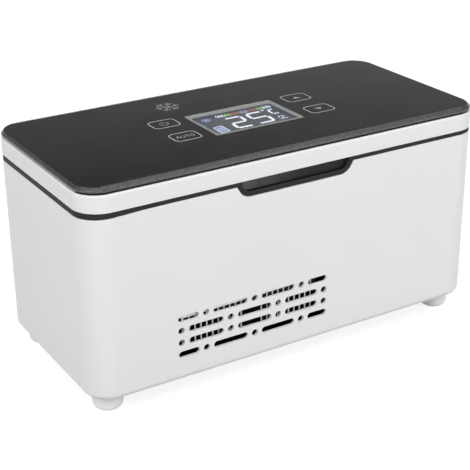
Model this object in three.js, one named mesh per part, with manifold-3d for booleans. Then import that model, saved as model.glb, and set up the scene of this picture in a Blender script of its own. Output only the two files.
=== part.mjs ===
// Portable insulin cooling case: a white box on four feet with a hinged lid, a black top panel with a
// display and printed touch keys, a finger notch at the front and a vented cooler behind the front wall.
// Millimetres. +X runs along the length, the front faces -Y and the feet stand on Z 0.
import * as THREE from "three";
import { mergeVertices } from "three/addons/utils/BufferGeometryUtils.js";
import Module from "manifold-3d";

const wasm = await Module();
wasm.setup();

// Fits: the gap between stacked faces, the gap round a piece in its pocket, the running gap at the hinge
const SEAT = 0.15;
const CLEARANCE = 0.3;
const RUNNING_GAP = 0.4;

// Outer case
const CASE_LENGTH = 208;
const CASE_DEPTH = 97.5;
const CASE_HEIGHT = 85.8;
const CORNER_RADIUS = 12.4;
const CASE_WALL = 2.2;
const CASE_DRAFT = 0.1;
const BOTTOM_FILLET = 3;

// Base plate, feet and base screws
const BASE_LIP = 4.6;
const BASE_THICKNESS = 2.4;
const FOOT_HEIGHT = 9;
const FOOT_TOP_RADIUS = 7.5;
const FOOT_BOTTOM_RADIUS = 6.8;
const FOOT_ROUND = 3.4;
const FOOT_PEG_RADIUS = 2.5;
const FOOT_FROM_SIDE = 11.6;
const FOOT_FROM_FRONT = 12.4;
const BASE_SCREW_FROM_SIDE = 9;
const BASE_SCREW_Y = 20;
const BASE_BOSS_HEIGHT = 14;

// Screws: shank and head sizes shared by all of them, and the plastic round a screw hole
const SCREW_RADIUS = 1.2;
const SCREW_HEAD_RADIUS = 2.3;
const SCREW_HEAD_HEIGHT = 1.1;
const BOSS_WALL = 1.4;

// Vents: rows of slots with round holes between them, staggered by half a pitch in the outer rows
const VENT_Z = 30.8;
const VENT_WIDTH = 3.3;
const VENT_SLOT_LENGTH = 18.3;
const VENT_PITCH = 25.2;
const VENT_ROW_PITCH = 5.87;
const VENT_ROWS = 4;
const VENT_PITCHES = 3;

// Black trim frame between case and lid, with the mouth of the chamber and the finger notch
const TRIM_INSET = 0.1;
const FLANGE_THICKNESS = 1.85;
const MOUTH_FROM_SIDE = 15;
const MOUTH_FROM_FRONT = 16.75;
const MOUTH_RADIUS = 8;
const SKIRT_WALL = 2;
const SKIRT_DEPTH = 8;
const LOCATING_RIB = 1.6;
const LOCATING_RIB_DEPTH = 3;
const NOTCH_X = -1.5;
const NOTCH_LENGTH = 61;
const NOTCH_DROP = 5.2;
const NOTCH_SIDE_LEAN = 0.61;
const NOTCH_RADIUS = 6.4;
const NOTCH_LIP = 2.1;
const POCKET_DEPTH = 2.7;
const POCKET_WALL = 1.8;

// Cold chamber: tray, insulation and temperature sensor
const TRAY_WALL = 1.5;
const TRAY_RIM = 4;
const FOAM_GAP = 1;
const SENSOR_RADIUS = 2;
const SENSOR_LENGTH = 10;

// Cooler: cold block, thermoelectric module, heat sink and fan on one centre, to the left of the battery
const COOLER_FROM_BATTERY = 10.35;
const COLD_BLOCK_LENGTH = 40;
const COLD_BLOCK_DEPTH = 62;
const COLD_BLOCK_HEIGHT = 9.4;
const MODULE_SIDE = 40;
const MODULE_HEIGHT = 3.6;
const SINK_LENGTH = 70;
const SINK_FROM_FRONT = 4.3;
const SINK_BASE = 4.6;
const FIN_HEIGHT = 15.4;
const FIN_THICKNESS = 0.8;
const FIN_PITCH = 3;
const SINK_CHANNEL = 10;
const SINK_SCREW_Y = 25.5;
const FAN_HEIGHT = 10;
const FAN_CORNER_RADIUS = 4;
const FAN_HOLE_SPACING = 50;
const FAN_HOLE_MARGIN = 5;
const FAN_RIM = 1.8;
const fanSide = FAN_HOLE_SPACING + 2 * FAN_HOLE_MARGIN;
const fanBoreRadius = fanSide / 2 - FAN_RIM;
const FAN_HUB_RADIUS = 14;
const FAN_SHAFT_RADIUS = 1;
const FAN_TIP_GAP = 1.2;
const FAN_PLATE = 1.6;
const FAN_HUB_WALL = 1.5;
const FAN_BUSH_HEIGHT = 6;
const FAN_BUSH_WALL = 1.7;
const FAN_STRUT_WIDTH = 3.2;
const FAN_STRUTS = 3;
const FAN_BLADES = 7;
const BLADE_THICKNESS = 1;
const BLADE_CHORD_ANGLE = 0.62;
const BLADE_SWEEP_ANGLE = 0.35;
const INTAKE_SLOT_WIDTH = 2.4;
const INTAKE_SLOT_FLAT = 0.05;
const INTAKE_SLOT_PITCH = 5;

// Battery and main board on the right-hand side
const BATTERY_FROM_SIDE = 13.5;
const CELL_RADIUS = 9.2;
const CELL_LENGTH = 65.2;
const CELL_PITCH = 20;
const CELL_COUNT = 3;
const CELL_EDGE = 0.5;
const CELL_NUB_RADIUS = 3.7;
const CELL_NUB_HEIGHT = 1.5;
const CRADLE_WALL = 1.1;
const CRADLE_FLOOR = 1.6;
const CRADLE_POST = 5;
const BOARD_THICKNESS = 1.6;
const BOARD_LIFT = 3.4;
const CHOKE_RADIUS = 6;
const CHOKE_HEIGHT = 6;
const CHOKE_FROM_EDGE = 16;
const CAPACITOR_RADIUS = 4;
const CAPACITOR_HEIGHT = 7;
const CAPACITOR_SPACING = 12;
const CAPACITOR_FROM_EDGE = 14;
const CHIP_SIDE = 10;
const CHIP_HEIGHT = 1.5;
const JACK_FROM_BATTERY = 5.5;
const JACK_LENGTH = 9;
const JACK_HEIGHT = 7.6;
const JACK_DEPTH = 12.7;
const JACK_NOSE_RADIUS = 3.5;
const JACK_BORE_RADIUS = 2.7;
const JACK_PIN_RADIUS = 0.9;
const JACK_PIN_RECESS = 1;
const JACK_BORE_DEPTH = 8;

// Lid shell and top panel
const LID_GAP = 0.3;
const LID_HEIGHT = 8;
const LID_WALL = 2.2;
const LID_TOP_WALL = 2;
const LID_EDGE_ROUND = 0.8;
const PANEL_THICKNESS = 2.65;
const PANEL_INSET = 0.6;
const PANEL_EDGE_HEIGHT = 1.45;
const PANEL_BEVEL = 1.35;

// Display: window in the panel, light frame, liquid crystal module, board and touch sensors
const WINDOW_LENGTH = 47.5;
const WINDOW_DEPTH = 31;
const WINDOW_Y = -2.95;
const WINDOW_THICKNESS = 0.3;
const SCREEN_X = -0.6;
const SCREEN_Y = -4.4;
const SCREEN_LENGTH = 41.2;
const SCREEN_DEPTH = 25.4;
const SCREEN_FRAME_THICKNESS = 0.8;
const DISPLAY_OPENING_DEPTH = 46;
const DISPLAY_BOARD_MARGIN = 4;
const KEY_X = 36.3;
const KEY_Y = -1.4;
const KEY_SPACING = 19.8;
const KEY_SENSOR_RADIUS = 4.2;
const KEY_FROM_OPENING = 15.7;
const displayOpeningLength = 2 * (KEY_X + KEY_FROM_OPENING);

// Inner cover of the lid: plug, foam, gasket, screws and magnets
const COVER_RECESS = 0.2;
const COVER_THICKNESS = 2;
const PLUG_GAP = 3;
const PLUG_DEPTH = 6;
const PLUG_WALL = 2;
const PLUG_TAPER = 1;
const GASKET_FROM_MOUTH = 1.5;
const GASKET_WIDTH = 3;
const GASKET_GROOVE = 1;
const LID_SCREW_FROM_SIDE = 5.5;
const LID_SCREW_Y = 28;
const MAGNET_FROM_SIDE = 42;
const MAGNET_FROM_FRONT = 7.25;
const MAGNET_RADIUS = 2.2;
const MAGNET_HEIGHT = 2.2;
const MAGNET_SKIN = 0.8;
const MAGNET_CUP_WALL = 1;

// Hinges at the rear: two ears on the trim frame, one knuckle on the lid and a pin each
const HINGE_FROM_SIDE = 49;
const HINGE_SETBACK = 0.3;
const HINGE_RISE = 0.3;
const HINGE_RADIUS = 2.5;
const HINGE_EAR = 5;
const HINGE_KNUCKLE = 14;
const HINGE_PIN_RADIUS = 1;

// Ribbon cable from the display board to the main board, past the hinge line
const RIBBON_FROM_BATTERY = -23.5;
const RIBBON_WIDTH = 10;
const RIBBON_THICKNESS = 0.3;
const RIBBON_FROM_REAR = 6.15;
const RIBBON_BEND = 1.4;
const RIBBON_TAIL = 16;

// Facets on round work
const CORNER_STEPS = 6;
const FILLET_STEPS = 3;
const ROUND_SIDES = 20;
const SMALL_SIDES = 8;
const ARC_STEPS = 2;
const BLADE_STEPS = 3;
const OVERLAP = 0.5;
const LEAST_RADIUS = 0.4;
const WELD = 1e-4;

// Finishes
const WHITE_PLASTIC = { color: 0xe6e6e8, roughness: 0.42, metalness: 0 };
const BLACK_PLASTIC = { color: 0x1b1b1c, roughness: 0.45, metalness: 0 };
const BLACK_GLOSS = { color: 0x101011, roughness: 0.12, metalness: 0 };
const CLEAR_PANE = { color: 0x30363a, roughness: 0.05, metalness: 0 };
const GREY_FRAME = { color: 0xc4c6c6, roughness: 0.5, metalness: 0 };
const DARK_SCREEN = { color: 0x1f2a30, roughness: 0.2, metalness: 0 };
const ALUMINIUM = { color: 0xc9cbcd, roughness: 0.35, metalness: 1 };
const STEEL = { color: 0xb4b6b8, roughness: 0.3, metalness: 1 };
const FOAM = { color: 0xd8d6cf, roughness: 0.95, metalness: 0 };
const RUBBER = { color: 0x3a3a3b, roughness: 0.8, metalness: 0 };
const CERAMIC = { color: 0xf0efe9, roughness: 0.6, metalness: 0 };
const GREEN_BOARD = { color: 0x1d5b39, roughness: 0.5, metalness: 0 };
const CELL_WRAP = { color: 0x2f6fb2, roughness: 0.4, metalness: 0 };
const RIBBON_FILM = { color: 0xb9793a, roughness: 0.45, metalness: 0 };

// Levels, from the feet up
const caseBottom = FOOT_HEIGHT;
const caseTop = caseBottom + CASE_HEIGHT;
const baseTop = caseBottom + BASE_THICKNESS;
const fanBottom = baseTop + SEAT;
const fanTop = fanBottom + FAN_HEIGHT;
const finBottom = fanTop + SEAT;
const sinkUnderside = finBottom + FIN_HEIGHT;
const sinkTop = sinkUnderside + SINK_BASE;
const moduleBottom = sinkTop + SEAT;
const blockBottom = moduleBottom + MODULE_HEIGHT + SEAT;
const blockTop = blockBottom + COLD_BLOCK_HEIGHT;
const trayBottom = blockTop + SEAT;
const flangeBottom = caseTop + SEAT;
const flangeTop = flangeBottom + FLANGE_THICKNESS;
const skirtBottom = flangeBottom - SKIRT_DEPTH;
const rimTop = skirtBottom - SEAT;
const foamTop = rimTop - TRAY_WALL - SEAT;
const lidBottom = flangeTop + LID_GAP;
const lidTop = lidBottom + LID_HEIGHT;
const panelBottom = lidTop + SEAT;
const panelTop = panelBottom + PANEL_THICKNESS;
const coverBottom = lidBottom + COVER_RECESS;
const coverTop = coverBottom + COVER_THICKNESS;
const plugBottom = coverBottom - PLUG_DEPTH;
const displayBoardTop = lidTop - LID_TOP_WALL - SEAT;
const displayBoardBottom = displayBoardTop - BOARD_THICKNESS;
const windowBottom = panelTop - WINDOW_THICKNESS;
const screenFrameBottom = windowBottom - SEAT - SCREEN_FRAME_THICKNESS;
const cellHeight = baseTop + SEAT + CRADLE_FLOOR + CLEARANCE + CELL_RADIUS;
const boardBottom = cellHeight + CELL_RADIUS + BOARD_LIFT;
const boardTop = boardBottom + BOARD_THICKNESS;

// Places in plan
const front = -CASE_DEPTH / 2;
const rear = CASE_DEPTH / 2;
const side = CASE_LENGTH / 2;
const cradleHalfLength = CELL_LENGTH / 2 + CLEARANCE + CRADLE_WALL;
const cradleHalfDepth = (CELL_COUNT * CELL_PITCH) / 2 + CRADLE_POST;
const batteryX = side - BATTERY_FROM_SIDE - cradleHalfLength;
const coolerX = batteryX - cradleHalfLength - COOLER_FROM_BATTERY - SINK_LENGTH / 2;
const jackX = batteryX + JACK_FROM_BATTERY;
const ribbonX = batteryX + RIBBON_FROM_BATTERY;
const hingeX = side - HINGE_FROM_SIDE;
const magnetX = side - MAGNET_FROM_SIDE;
const hingeY = rear - HINGE_SETBACK;
const hingeZ = lidBottom + HINGE_RISE;
const hingeWidth = HINGE_KNUCKLE + 2 * (RUNNING_GAP + HINGE_EAR);
const ribbonY = rear - RIBBON_FROM_REAR;
const screwHole = SCREW_RADIUS + CLEARANCE;
const screwHeadHole = SCREW_HEAD_RADIUS + CLEARANCE;
const bossRadius = screwHole + BOSS_WALL;

// Plans: rounded rectangles that the shells are drawn from
const casePlan = { length: CASE_LENGTH, depth: CASE_DEPTH, radius: CORNER_RADIUS };
const mouthPlan = {
  length: CASE_LENGTH - 2 * MOUTH_FROM_SIDE,
  depth: CASE_DEPTH - 2 * MOUTH_FROM_FRONT,
  radius: MOUTH_RADIUS,
};

function shrink(plan, by) {
  const length = plan.length - 2 * by;
  const depth = plan.depth - 2 * by;
  return { length, depth, radius: Math.max(plan.radius - by, LEAST_RADIUS) };
}

function outline(plan, steps) {
  const points = [];
  for (let corner = 0; corner < 4; corner += 1) {
    const toRight = corner === 0 || corner === 3 ? 1 : -1;
    const toRear = corner < 2 ? 1 : -1;
    const centreX = toRight * (plan.length / 2 - plan.radius);
    const centreY = toRear * (plan.depth / 2 - plan.radius);
    for (let step = 0; step <= steps; step += 1) {
      const angle = (corner + step / steps) * (Math.PI / 2);
      points.push([centreX + plan.radius * Math.cos(angle), centreY + plan.radius * Math.sin(angle)]);
    }
  }
  return points;
}

// Solids and the geometry that is made from them
function toSolid(geometry) {
  const bare = new THREE.BufferGeometry();
  bare.setAttribute("position", geometry.getAttribute("position"));
  bare.setIndex(geometry.getIndex());
  const merged = mergeVertices(bare, WELD);
  const vertProperties = merged.getAttribute("position").array;
  const triVerts = new Uint32Array(merged.getIndex().array);
  return new wasm.Manifold(new wasm.Mesh({ numProp: 3, vertProperties, triVerts }));
}

function toGeometry(solid) {
  const { vertProperties, triVerts } = solid.getMesh();
  const geometry = new THREE.BufferGeometry();
  geometry.setAttribute("position", new THREE.BufferAttribute(vertProperties, 3));
  geometry.setIndex(new THREE.BufferAttribute(triVerts, 1));
  geometry.computeVertexNormals();
  return geometry;
}

function joined(solids) {
  return solids.reduce((whole, next) => whole.add(next));
}

// A skin through stacked plans, each given as [plan, height], closed at both ends;
// small corners get fewer facets
function loft(sections, x = 0, y = 0) {
  const widest = Math.max(...sections.map(([plan]) => plan.radius));
  const steps = Math.min(CORNER_STEPS, Math.round(2 * Math.sqrt(widest)));
  const rings = sections.map(([plan]) => outline(plan, steps));
  const count = rings[0].length;
  const positions = [];
  const index = [];
  rings.forEach((ring, level) => {
    ring.forEach(([px, py]) => positions.push(px + x, py + y, sections[level][1]));
  });
  for (let level = 0; level + 1 < rings.length; level += 1) {
    for (let point = 0; point < count; point += 1) {
      const here = level * count + point;
      const next = level * count + ((point + 1) % count);
      index.push(here, next, next + count, here, next + count, here + count);
    }
  }
  const last = (rings.length - 1) * count;
  for (let point = 1; point + 1 < count; point += 1) {
    index.push(0, point + 1, point, last, last + point, last + point + 1);
  }
  const geometry = new THREE.BufferGeometry();
  geometry.setAttribute("position", new THREE.Float32BufferAttribute(positions, 3));
  geometry.setIndex(index);
  return toSolid(geometry);
}

function prism(plan, bottom, top, x = 0, y = 0) {
  return loft([[plan, bottom], [plan, top]], x, y);
}

function block(low, high) {
  const size = high.map((value, axis) => value - low[axis]);
  const middle = high.map((value, axis) => (value + low[axis]) / 2);
  return toSolid(new THREE.BoxGeometry(...size).translate(...middle));
}

function upright(radius, bottom, top, x = 0, y = 0, sides = ROUND_SIDES) {
  const geometry = new THREE.CylinderGeometry(radius, radius, top - bottom, sides);
  return toSolid(geometry.rotateX(Math.PI / 2).translate(x, y, (top + bottom) / 2));
}

function barrel(radius, from, to, y, z, sides = ROUND_SIDES) {
  const geometry = new THREE.CylinderGeometry(radius, radius, to - from, sides);
  return toSolid(geometry.rotateZ(Math.PI / 2).translate((from + to) / 2, y, z));
}

// A shape drawn on the front wall, in X and Z, carried back from one Y to another
function throughFront(shape, from, to, curveSegments = ARC_STEPS) {
  const options = { depth: to - from, bevelEnabled: false, curveSegments };
  return toSolid(new THREE.ExtrudeGeometry(shape, options).rotateX(Math.PI / 2).translate(0, to, 0));
}

function turned(profile, sides = ROUND_SIDES) {
  const points = profile.map(([radius, height]) => new THREE.Vector2(radius, height));
  return new THREE.LatheGeometry(points, sides).rotateX(Math.PI / 2);
}

// A pan-head screw with its head on Z 0 and its shank pointing up
function screw(length) {
  const profile = [
    [0, 0],
    [SCREW_HEAD_RADIUS, 0],
    [SCREW_HEAD_RADIUS, SCREW_HEAD_HEIGHT],
    [SCREW_RADIUS, SCREW_HEAD_HEIGHT],
    [SCREW_RADIUS, SCREW_HEAD_HEIGHT + length],
    [0, SCREW_HEAD_HEIGHT + length],
  ];
  return turned(profile, SMALL_SIDES);
}

function addPiece(parent, name, geometry, finish, place = [0, 0, 0]) {
  const mesh = new THREE.Mesh(geometry, new THREE.MeshStandardMaterial(finish));
  mesh.name = name;
  mesh.position.set(...place);
  parent.add(mesh);
}

function fourCorners(x, y) {
  return [[-x, -y], [x, -y], [-x, y], [x, y]];
}

// The four places of the feet, of the base screws, of the fan screws and of the lid screws
const footPlaces = fourCorners(side - FOOT_FROM_SIDE, rear - FOOT_FROM_FRONT);
const baseScrewPlaces = fourCorners(side - BASE_SCREW_FROM_SIDE, BASE_SCREW_Y);
const fanScrewReach = FAN_HOLE_SPACING / 2;
const fanScrewPlaces = fourCorners(fanScrewReach, fanScrewReach).map(([x, y]) => [x + coolerX, y]);
const lidScrewPlaces = fourCorners(side - LID_SCREW_FROM_SIDE, LID_SCREW_Y);
const magnetPlaces = [-magnetX, magnetX].map((x) => [x, front + MAGNET_FROM_FRONT]);
const hingePlaces = [-hingeX, hingeX];

// Vent openings: every slot and hole of the pattern as a round-ended outline on the front wall
function ventShapes() {
  const radius = VENT_WIDTH / 2;
  const reach = (VENT_PITCHES / 2) * VENT_PITCH + radius;
  const outermost = Math.ceil(VENT_PITCHES / 2);
  const shapes = [];
  const addOpening = (from, to, z) => {
    const left = Math.max(from, -reach) + radius;
    const right = Math.min(to, reach) - radius;
    if (right < left - LEAST_RADIUS) return;
    const shape = new THREE.Shape();
    shape.absarc(coolerX + Math.max(left, right), z, radius, -Math.PI / 2, Math.PI / 2, false);
    shape.absarc(coolerX + left, z, radius, Math.PI / 2, 1.5 * Math.PI, false);
    shapes.push(shape);
  };
  for (let row = 0; row < VENT_ROWS; row += 1) {
    const outer = row === 0 || row === VENT_ROWS - 1;
    const z = VENT_Z + (row - (VENT_ROWS - 1) / 2) * VENT_ROW_PITCH;
    for (let place = -outermost; place <= outermost; place += 1) {
      const slot = place * VENT_PITCH + (outer ? VENT_PITCH / 2 : 0);
      const hole = slot + VENT_PITCH / 2;
      addOpening(slot - VENT_SLOT_LENGTH / 2, slot + VENT_SLOT_LENGTH / 2, z);
      addOpening(hole - radius, hole + radius, z);
    }
  }
  return shapes;
}

function vents(from, to) {
  return joined(ventShapes().map((shape) => throughFront(shape, from, to)));
}

// Outline of the finger notch, drawn in from the case's own cut by an inset and open at the top
function notchShape(inset, openTop) {
  const topHalf = NOTCH_LENGTH / 2 - inset * Math.hypot(1, NOTCH_SIDE_LEAN);
  const drop = NOTCH_DROP - inset;
  const radius = Math.max(NOTCH_RADIUS - inset, LEAST_RADIUS);
  const lean = Math.atan(NOTCH_SIDE_LEAN);
  const arcX = topHalf - drop * NOTCH_SIDE_LEAN - radius * Math.tan((Math.PI / 2 - lean) / 2);
  const arcZ = caseTop - drop + radius;
  const shape = new THREE.Shape();
  shape.moveTo(NOTCH_X - topHalf, openTop);
  shape.lineTo(NOTCH_X - topHalf, caseTop);
  shape.absarc(NOTCH_X - arcX, arcZ, radius, Math.PI + lean, 1.5 * Math.PI, false);
  shape.absarc(NOTCH_X + arcX, arcZ, radius, -Math.PI / 2, -lean, false);
  shape.lineTo(NOTCH_X + topHalf, caseTop);
  shape.lineTo(NOTCH_X + topHalf, openTop);
  shape.closePath();
  return shape;
}

// Barrels along the hinge line: room for ears and knuckle, room for the knuckle alone, and the pin's bores
function hingeRoom() {
  const half = hingeWidth / 2 + RUNNING_GAP;
  const radius = HINGE_RADIUS + RUNNING_GAP;
  return joined(hingePlaces.map((x) => barrel(radius, x - half, x + half, hingeY, hingeZ)));
}

function knuckleRoom() {
  const half = HINGE_KNUCKLE / 2 + RUNNING_GAP;
  const radius = HINGE_RADIUS + RUNNING_GAP;
  return joined(hingePlaces.map((x) => barrel(radius, x - half, x + half, hingeY, hingeZ)));
}

function pinBores() {
  const half = hingeWidth / 2 + OVERLAP;
  const radius = HINGE_PIN_RADIUS + CLEARANCE;
  return joined(hingePlaces.map((x) => barrel(radius, x - half, x + half, hingeY, hingeZ, SMALL_SIDES)));
}

// Outer case: a drafted shell with a rounded bottom edge, screw bosses, vents front and rear, and the notch
function outerCase() {
  const skin = [];
  for (let step = 0; step <= FILLET_STEPS; step += 1) {
    const angle = (step / FILLET_STEPS) * (Math.PI / 2);
    const inset = CASE_DRAFT + BOTTOM_FILLET * (1 - Math.sin(angle));
    skin.push([shrink(casePlan, inset), caseBottom + BOTTOM_FILLET * (1 - Math.cos(angle))]);
  }
  skin.push([casePlan, caseTop]);
  const innerBottom = shrink(casePlan, CASE_WALL + CASE_DRAFT);
  const innerTop = shrink(casePlan, CASE_WALL);
  let shell = loft(skin);
  shell = shell.subtract(loft([[innerBottom, baseTop], [innerTop, caseTop + OVERLAP]]));
  shell = shell.subtract(prism(shrink(casePlan, BASE_LIP), caseBottom - OVERLAP, baseTop + OVERLAP));
  for (const [x, y] of baseScrewPlaces) {
    const bottom = baseTop + SEAT;
    const top = bottom + BASE_BOSS_HEIGHT;
    const wall = Math.sign(x) * (side - CASE_WALL / 2 - CASE_DRAFT);
    const rib = BOSS_WALL / 2;
    shell = shell.add(upright(bossRadius, bottom, top, x, y, SMALL_SIDES));
    shell = shell.add(block([Math.min(x, wall), y - rib, bottom], [Math.max(x, wall), y + rib, top]));
    shell = shell.subtract(upright(screwHole, bottom - OVERLAP, top - BOSS_WALL, x, y, SMALL_SIDES));
  }
  const cutThrough = CASE_WALL + CASE_DRAFT + 2 * OVERLAP;
  shell = shell.subtract(vents(front - OVERLAP, front + cutThrough));
  shell = shell.subtract(vents(rear - cutThrough, rear + OVERLAP));
  const notchBack = front + POCKET_DEPTH + POCKET_WALL + CLEARANCE;
  const notch = notchShape(-CLEARANCE, caseTop + OVERLAP);
  shell = shell.subtract(throughFront(notch, front - OVERLAP, notchBack));
  shell = shell.subtract(hingeRoom());
  const jackHole = new THREE.Shape();
  const jackZ = boardTop + SEAT + JACK_HEIGHT / 2;
  jackHole.absarc(jackX, jackZ, JACK_NOSE_RADIUS + CLEARANCE, 0, 2 * Math.PI, false);
  return shell.subtract(throughFront(jackHole, rear - cutThrough, rear + OVERLAP, ROUND_SIDES / 4));
}

// Base plate: closes the bottom, with the fan's intake slots, foot sockets and screw holes
function basePlate() {
  let plate = prism(shrink(casePlan, BASE_LIP + CLEARANCE), caseBottom, baseTop);
  const slots = 2 * Math.floor((fanBoreRadius - INTAKE_SLOT_WIDTH) / INTAKE_SLOT_PITCH) + 1;
  for (let slot = 0; slot < slots; slot += 1) {
    const x = (slot - (slots - 1) / 2) * INTAKE_SLOT_PITCH;
    const depth = 2 * Math.sqrt((fanBoreRadius - INTAKE_SLOT_WIDTH / 2) ** 2 - x ** 2);
    const plan = { length: INTAKE_SLOT_WIDTH, depth, radius: INTAKE_SLOT_WIDTH / 2 - INTAKE_SLOT_FLAT };
    plate = plate.subtract(prism(plan, caseBottom - OVERLAP, baseTop + OVERLAP, coolerX + x, 0));
  }
  for (const [x, y] of footPlaces) {
    const hole = FOOT_PEG_RADIUS + CLEARANCE;
    plate = plate.subtract(upright(hole, caseBottom - OVERLAP, baseTop + OVERLAP, x, y, SMALL_SIDES));
  }
  for (const [x, y] of [...baseScrewPlaces, ...fanScrewPlaces]) {
    const headTop = caseBottom + SCREW_HEAD_HEIGHT + SEAT;
    plate = plate.subtract(upright(screwHole, caseBottom - OVERLAP, baseTop + OVERLAP, x, y, SMALL_SIDES));
    plate = plate.subtract(upright(screwHeadHole, caseBottom - OVERLAP, headTop, x, y, SMALL_SIDES));
  }
  return plate;
}

// Foot: a tapered button with a rounded rim and a peg that plugs into the base plate
function foot() {
  const profile = [[0, 0]];
  for (let step = 0; step <= FILLET_STEPS; step += 1) {
    const angle = (step / FILLET_STEPS) * (Math.PI / 2);
    const radius = FOOT_BOTTOM_RADIUS - FOOT_ROUND * (1 - Math.sin(angle));
    profile.push([radius, FOOT_ROUND * (1 - Math.cos(angle))]);
  }
  const shoulder = FOOT_HEIGHT - SEAT;
  profile.push([FOOT_TOP_RADIUS, shoulder], [FOOT_PEG_RADIUS, shoulder]);
  profile.push([FOOT_PEG_RADIUS, baseTop - SEAT], [0, baseTop - SEAT]);
  return turned(profile);
}

// Trim frame: flange, chamber mouth, locating rib, finger pocket, magnet cups and hinge ears in one piece
function trimFrame() {
  const ribOuter = shrink(casePlan, CASE_WALL + CLEARANCE);
  const ribBottom = flangeBottom - LOCATING_RIB_DEPTH;
  const rib = prism(ribOuter, ribBottom, flangeBottom + OVERLAP).subtract(
    prism(shrink(ribOuter, LOCATING_RIB), ribBottom - OVERLAP, flangeBottom),
  );
  const magnetTop = flangeTop - MAGNET_SKIN;
  const cupBottom = magnetTop - SEAT - MAGNET_HEIGHT;
  let frame = prism(shrink(casePlan, TRIM_INSET), flangeBottom, flangeTop);
  frame = frame.add(prism(shrink(mouthPlan, -SKIRT_WALL), skirtBottom, flangeBottom + OVERLAP)).add(rib);
  const trimFront = front + TRIM_INSET;
  const pocketBack = front + POCKET_DEPTH;
  frame = frame.add(throughFront(notchShape(0, flangeTop), trimFront, pocketBack + POCKET_WALL));
  for (const [x, y] of magnetPlaces) {
    const bore = MAGNET_RADIUS + CLEARANCE;
    const cup = bore + MAGNET_CUP_WALL;
    frame = frame.add(upright(cup, cupBottom, flangeBottom + OVERLAP, x, y, SMALL_SIDES));
    frame = frame.subtract(upright(bore, cupBottom - OVERLAP, magnetTop, x, y, SMALL_SIDES));
  }
  frame = frame.subtract(prism(mouthPlan, skirtBottom - OVERLAP, flangeTop + OVERLAP));
  const pocket = notchShape(NOTCH_LIP, flangeTop + OVERLAP);
  frame = frame.subtract(throughFront(pocket, front - OVERLAP, pocketBack));
  frame = frame.subtract(ribbonSlot(flangeBottom, flangeTop));
  frame = frame.subtract(knuckleRoom());
  for (const x of hingePlaces) {
    for (const facing of [-1, 1]) {
      const near = x + facing * (HINGE_KNUCKLE / 2 + RUNNING_GAP);
      const far = x + facing * (hingeWidth / 2);
      const [left, right] = [Math.min(near, far), Math.max(near, far)];
      frame = frame.add(barrel(HINGE_RADIUS, left, right, hingeY, hingeZ));
    }
  }
  return frame.subtract(pinBores());
}

function ribbonSlot(bottom, top) {
  const half = RIBBON_WIDTH / 2 + CLEARANCE;
  const room = RIBBON_THICKNESS / 2 + CLEARANCE;
  const low = [ribbonX - half, ribbonY - room, bottom - OVERLAP];
  return block(low, [ribbonX + half, ribbonY + room, top + OVERLAP]);
}

// Cold tray: a folded aluminium pan with a rim under the skirt of the trim frame
function coldTray() {
  const outer = shrink(mouthPlan, -TRAY_WALL);
  const rim = shrink(outer, -TRAY_RIM);
  const pan = prism(outer, trayBottom, rimTop).add(prism(rim, rimTop - TRAY_WALL, rimTop));
  return pan.subtract(prism(mouthPlan, trayBottom + TRAY_WALL, rimTop + OVERLAP));
}

// Insulation round the tray, with room for the cold block, the sensor and the ribbon cable
function insulation() {
  const outer = shrink(casePlan, CASE_WALL + CASE_DRAFT + FOAM_GAP);
  const trayRoom = shrink(mouthPlan, -TRAY_WALL - CLEARANCE);
  const blockRoom = {
    length: COLD_BLOCK_LENGTH + 2 * CLEARANCE,
    depth: COLD_BLOCK_DEPTH + 2 * CLEARANCE,
    radius: LEAST_RADIUS,
  };
  let foam = prism(outer, blockBottom, foamTop);
  foam = foam.subtract(prism(trayRoom, trayBottom - SEAT, foamTop + OVERLAP));
  foam = foam.subtract(prism(blockRoom, blockBottom - OVERLAP, trayBottom, coolerX, 0));
  const [x, y, z] = sensorPlace;
  const sensorRoom = SENSOR_RADIUS + CLEARANCE;
  foam = foam.subtract(upright(sensorRoom, z - CLEARANCE, foamTop + OVERLAP, x, y, SMALL_SIDES));
  const half = RIBBON_WIDTH / 2 + CLEARANCE;
  const channelFront = ribbonY - RIBBON_THICKNESS / 2 - CLEARANCE;
  const low = [ribbonX - half, channelFront, blockBottom - OVERLAP];
  return foam.subtract(block(low, [ribbonX + half, rear, foamTop + OVERLAP]));
}

// Temperature sensor: a small capsule against the right-hand end of the tray
const sensorPlace = [
  mouthPlan.length / 2 + TRAY_WALL + CLEARANCE + SENSOR_RADIUS,
  0,
  foamTop - SENSOR_LENGTH - CLEARANCE,
];

function sensor() {
  const profile = [[0, 0]];
  for (let step = 1; step <= FILLET_STEPS; step += 1) {
    const angle = (step / FILLET_STEPS) * (Math.PI / 2);
    profile.push([SENSOR_RADIUS * Math.sin(angle), SENSOR_RADIUS * (1 - Math.cos(angle))]);
  }
  profile.push([SENSOR_RADIUS, SENSOR_LENGTH], [0, SENSOR_LENGTH]);
  return turned(profile, SMALL_SIDES);
}

// Heat sink: a base with straight fins from front to rear and an open channel down the middle
function heatSink() {
  const half = SINK_LENGTH / 2;
  const reach = rear - SINK_FROM_FRONT;
  let sink = block([coolerX - half, -reach, sinkUnderside], [coolerX + half, reach, sinkTop]);
  const perSide = Math.floor((half - SINK_CHANNEL / 2 - FIN_THICKNESS) / FIN_PITCH) + 1;
  for (let fin = 0; fin < perSide; fin += 1) {
    const near = SINK_CHANNEL / 2 + fin * FIN_PITCH;
    for (const facing of [-1, 1]) {
      const from = coolerX + (facing > 0 ? near : -near - FIN_THICKNESS);
      const low = [from, -reach, finBottom];
      sink = sink.add(block(low, [from + FIN_THICKNESS, reach, sinkUnderside + OVERLAP]));
    }
  }
  for (const y of [-SINK_SCREW_Y, SINK_SCREW_Y]) {
    const hole = upright(screwHole, sinkUnderside - OVERLAP, sinkTop + OVERLAP, coolerX, y, SMALL_SIDES);
    sink = sink.subtract(hole);
  }
  return sink;
}

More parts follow.
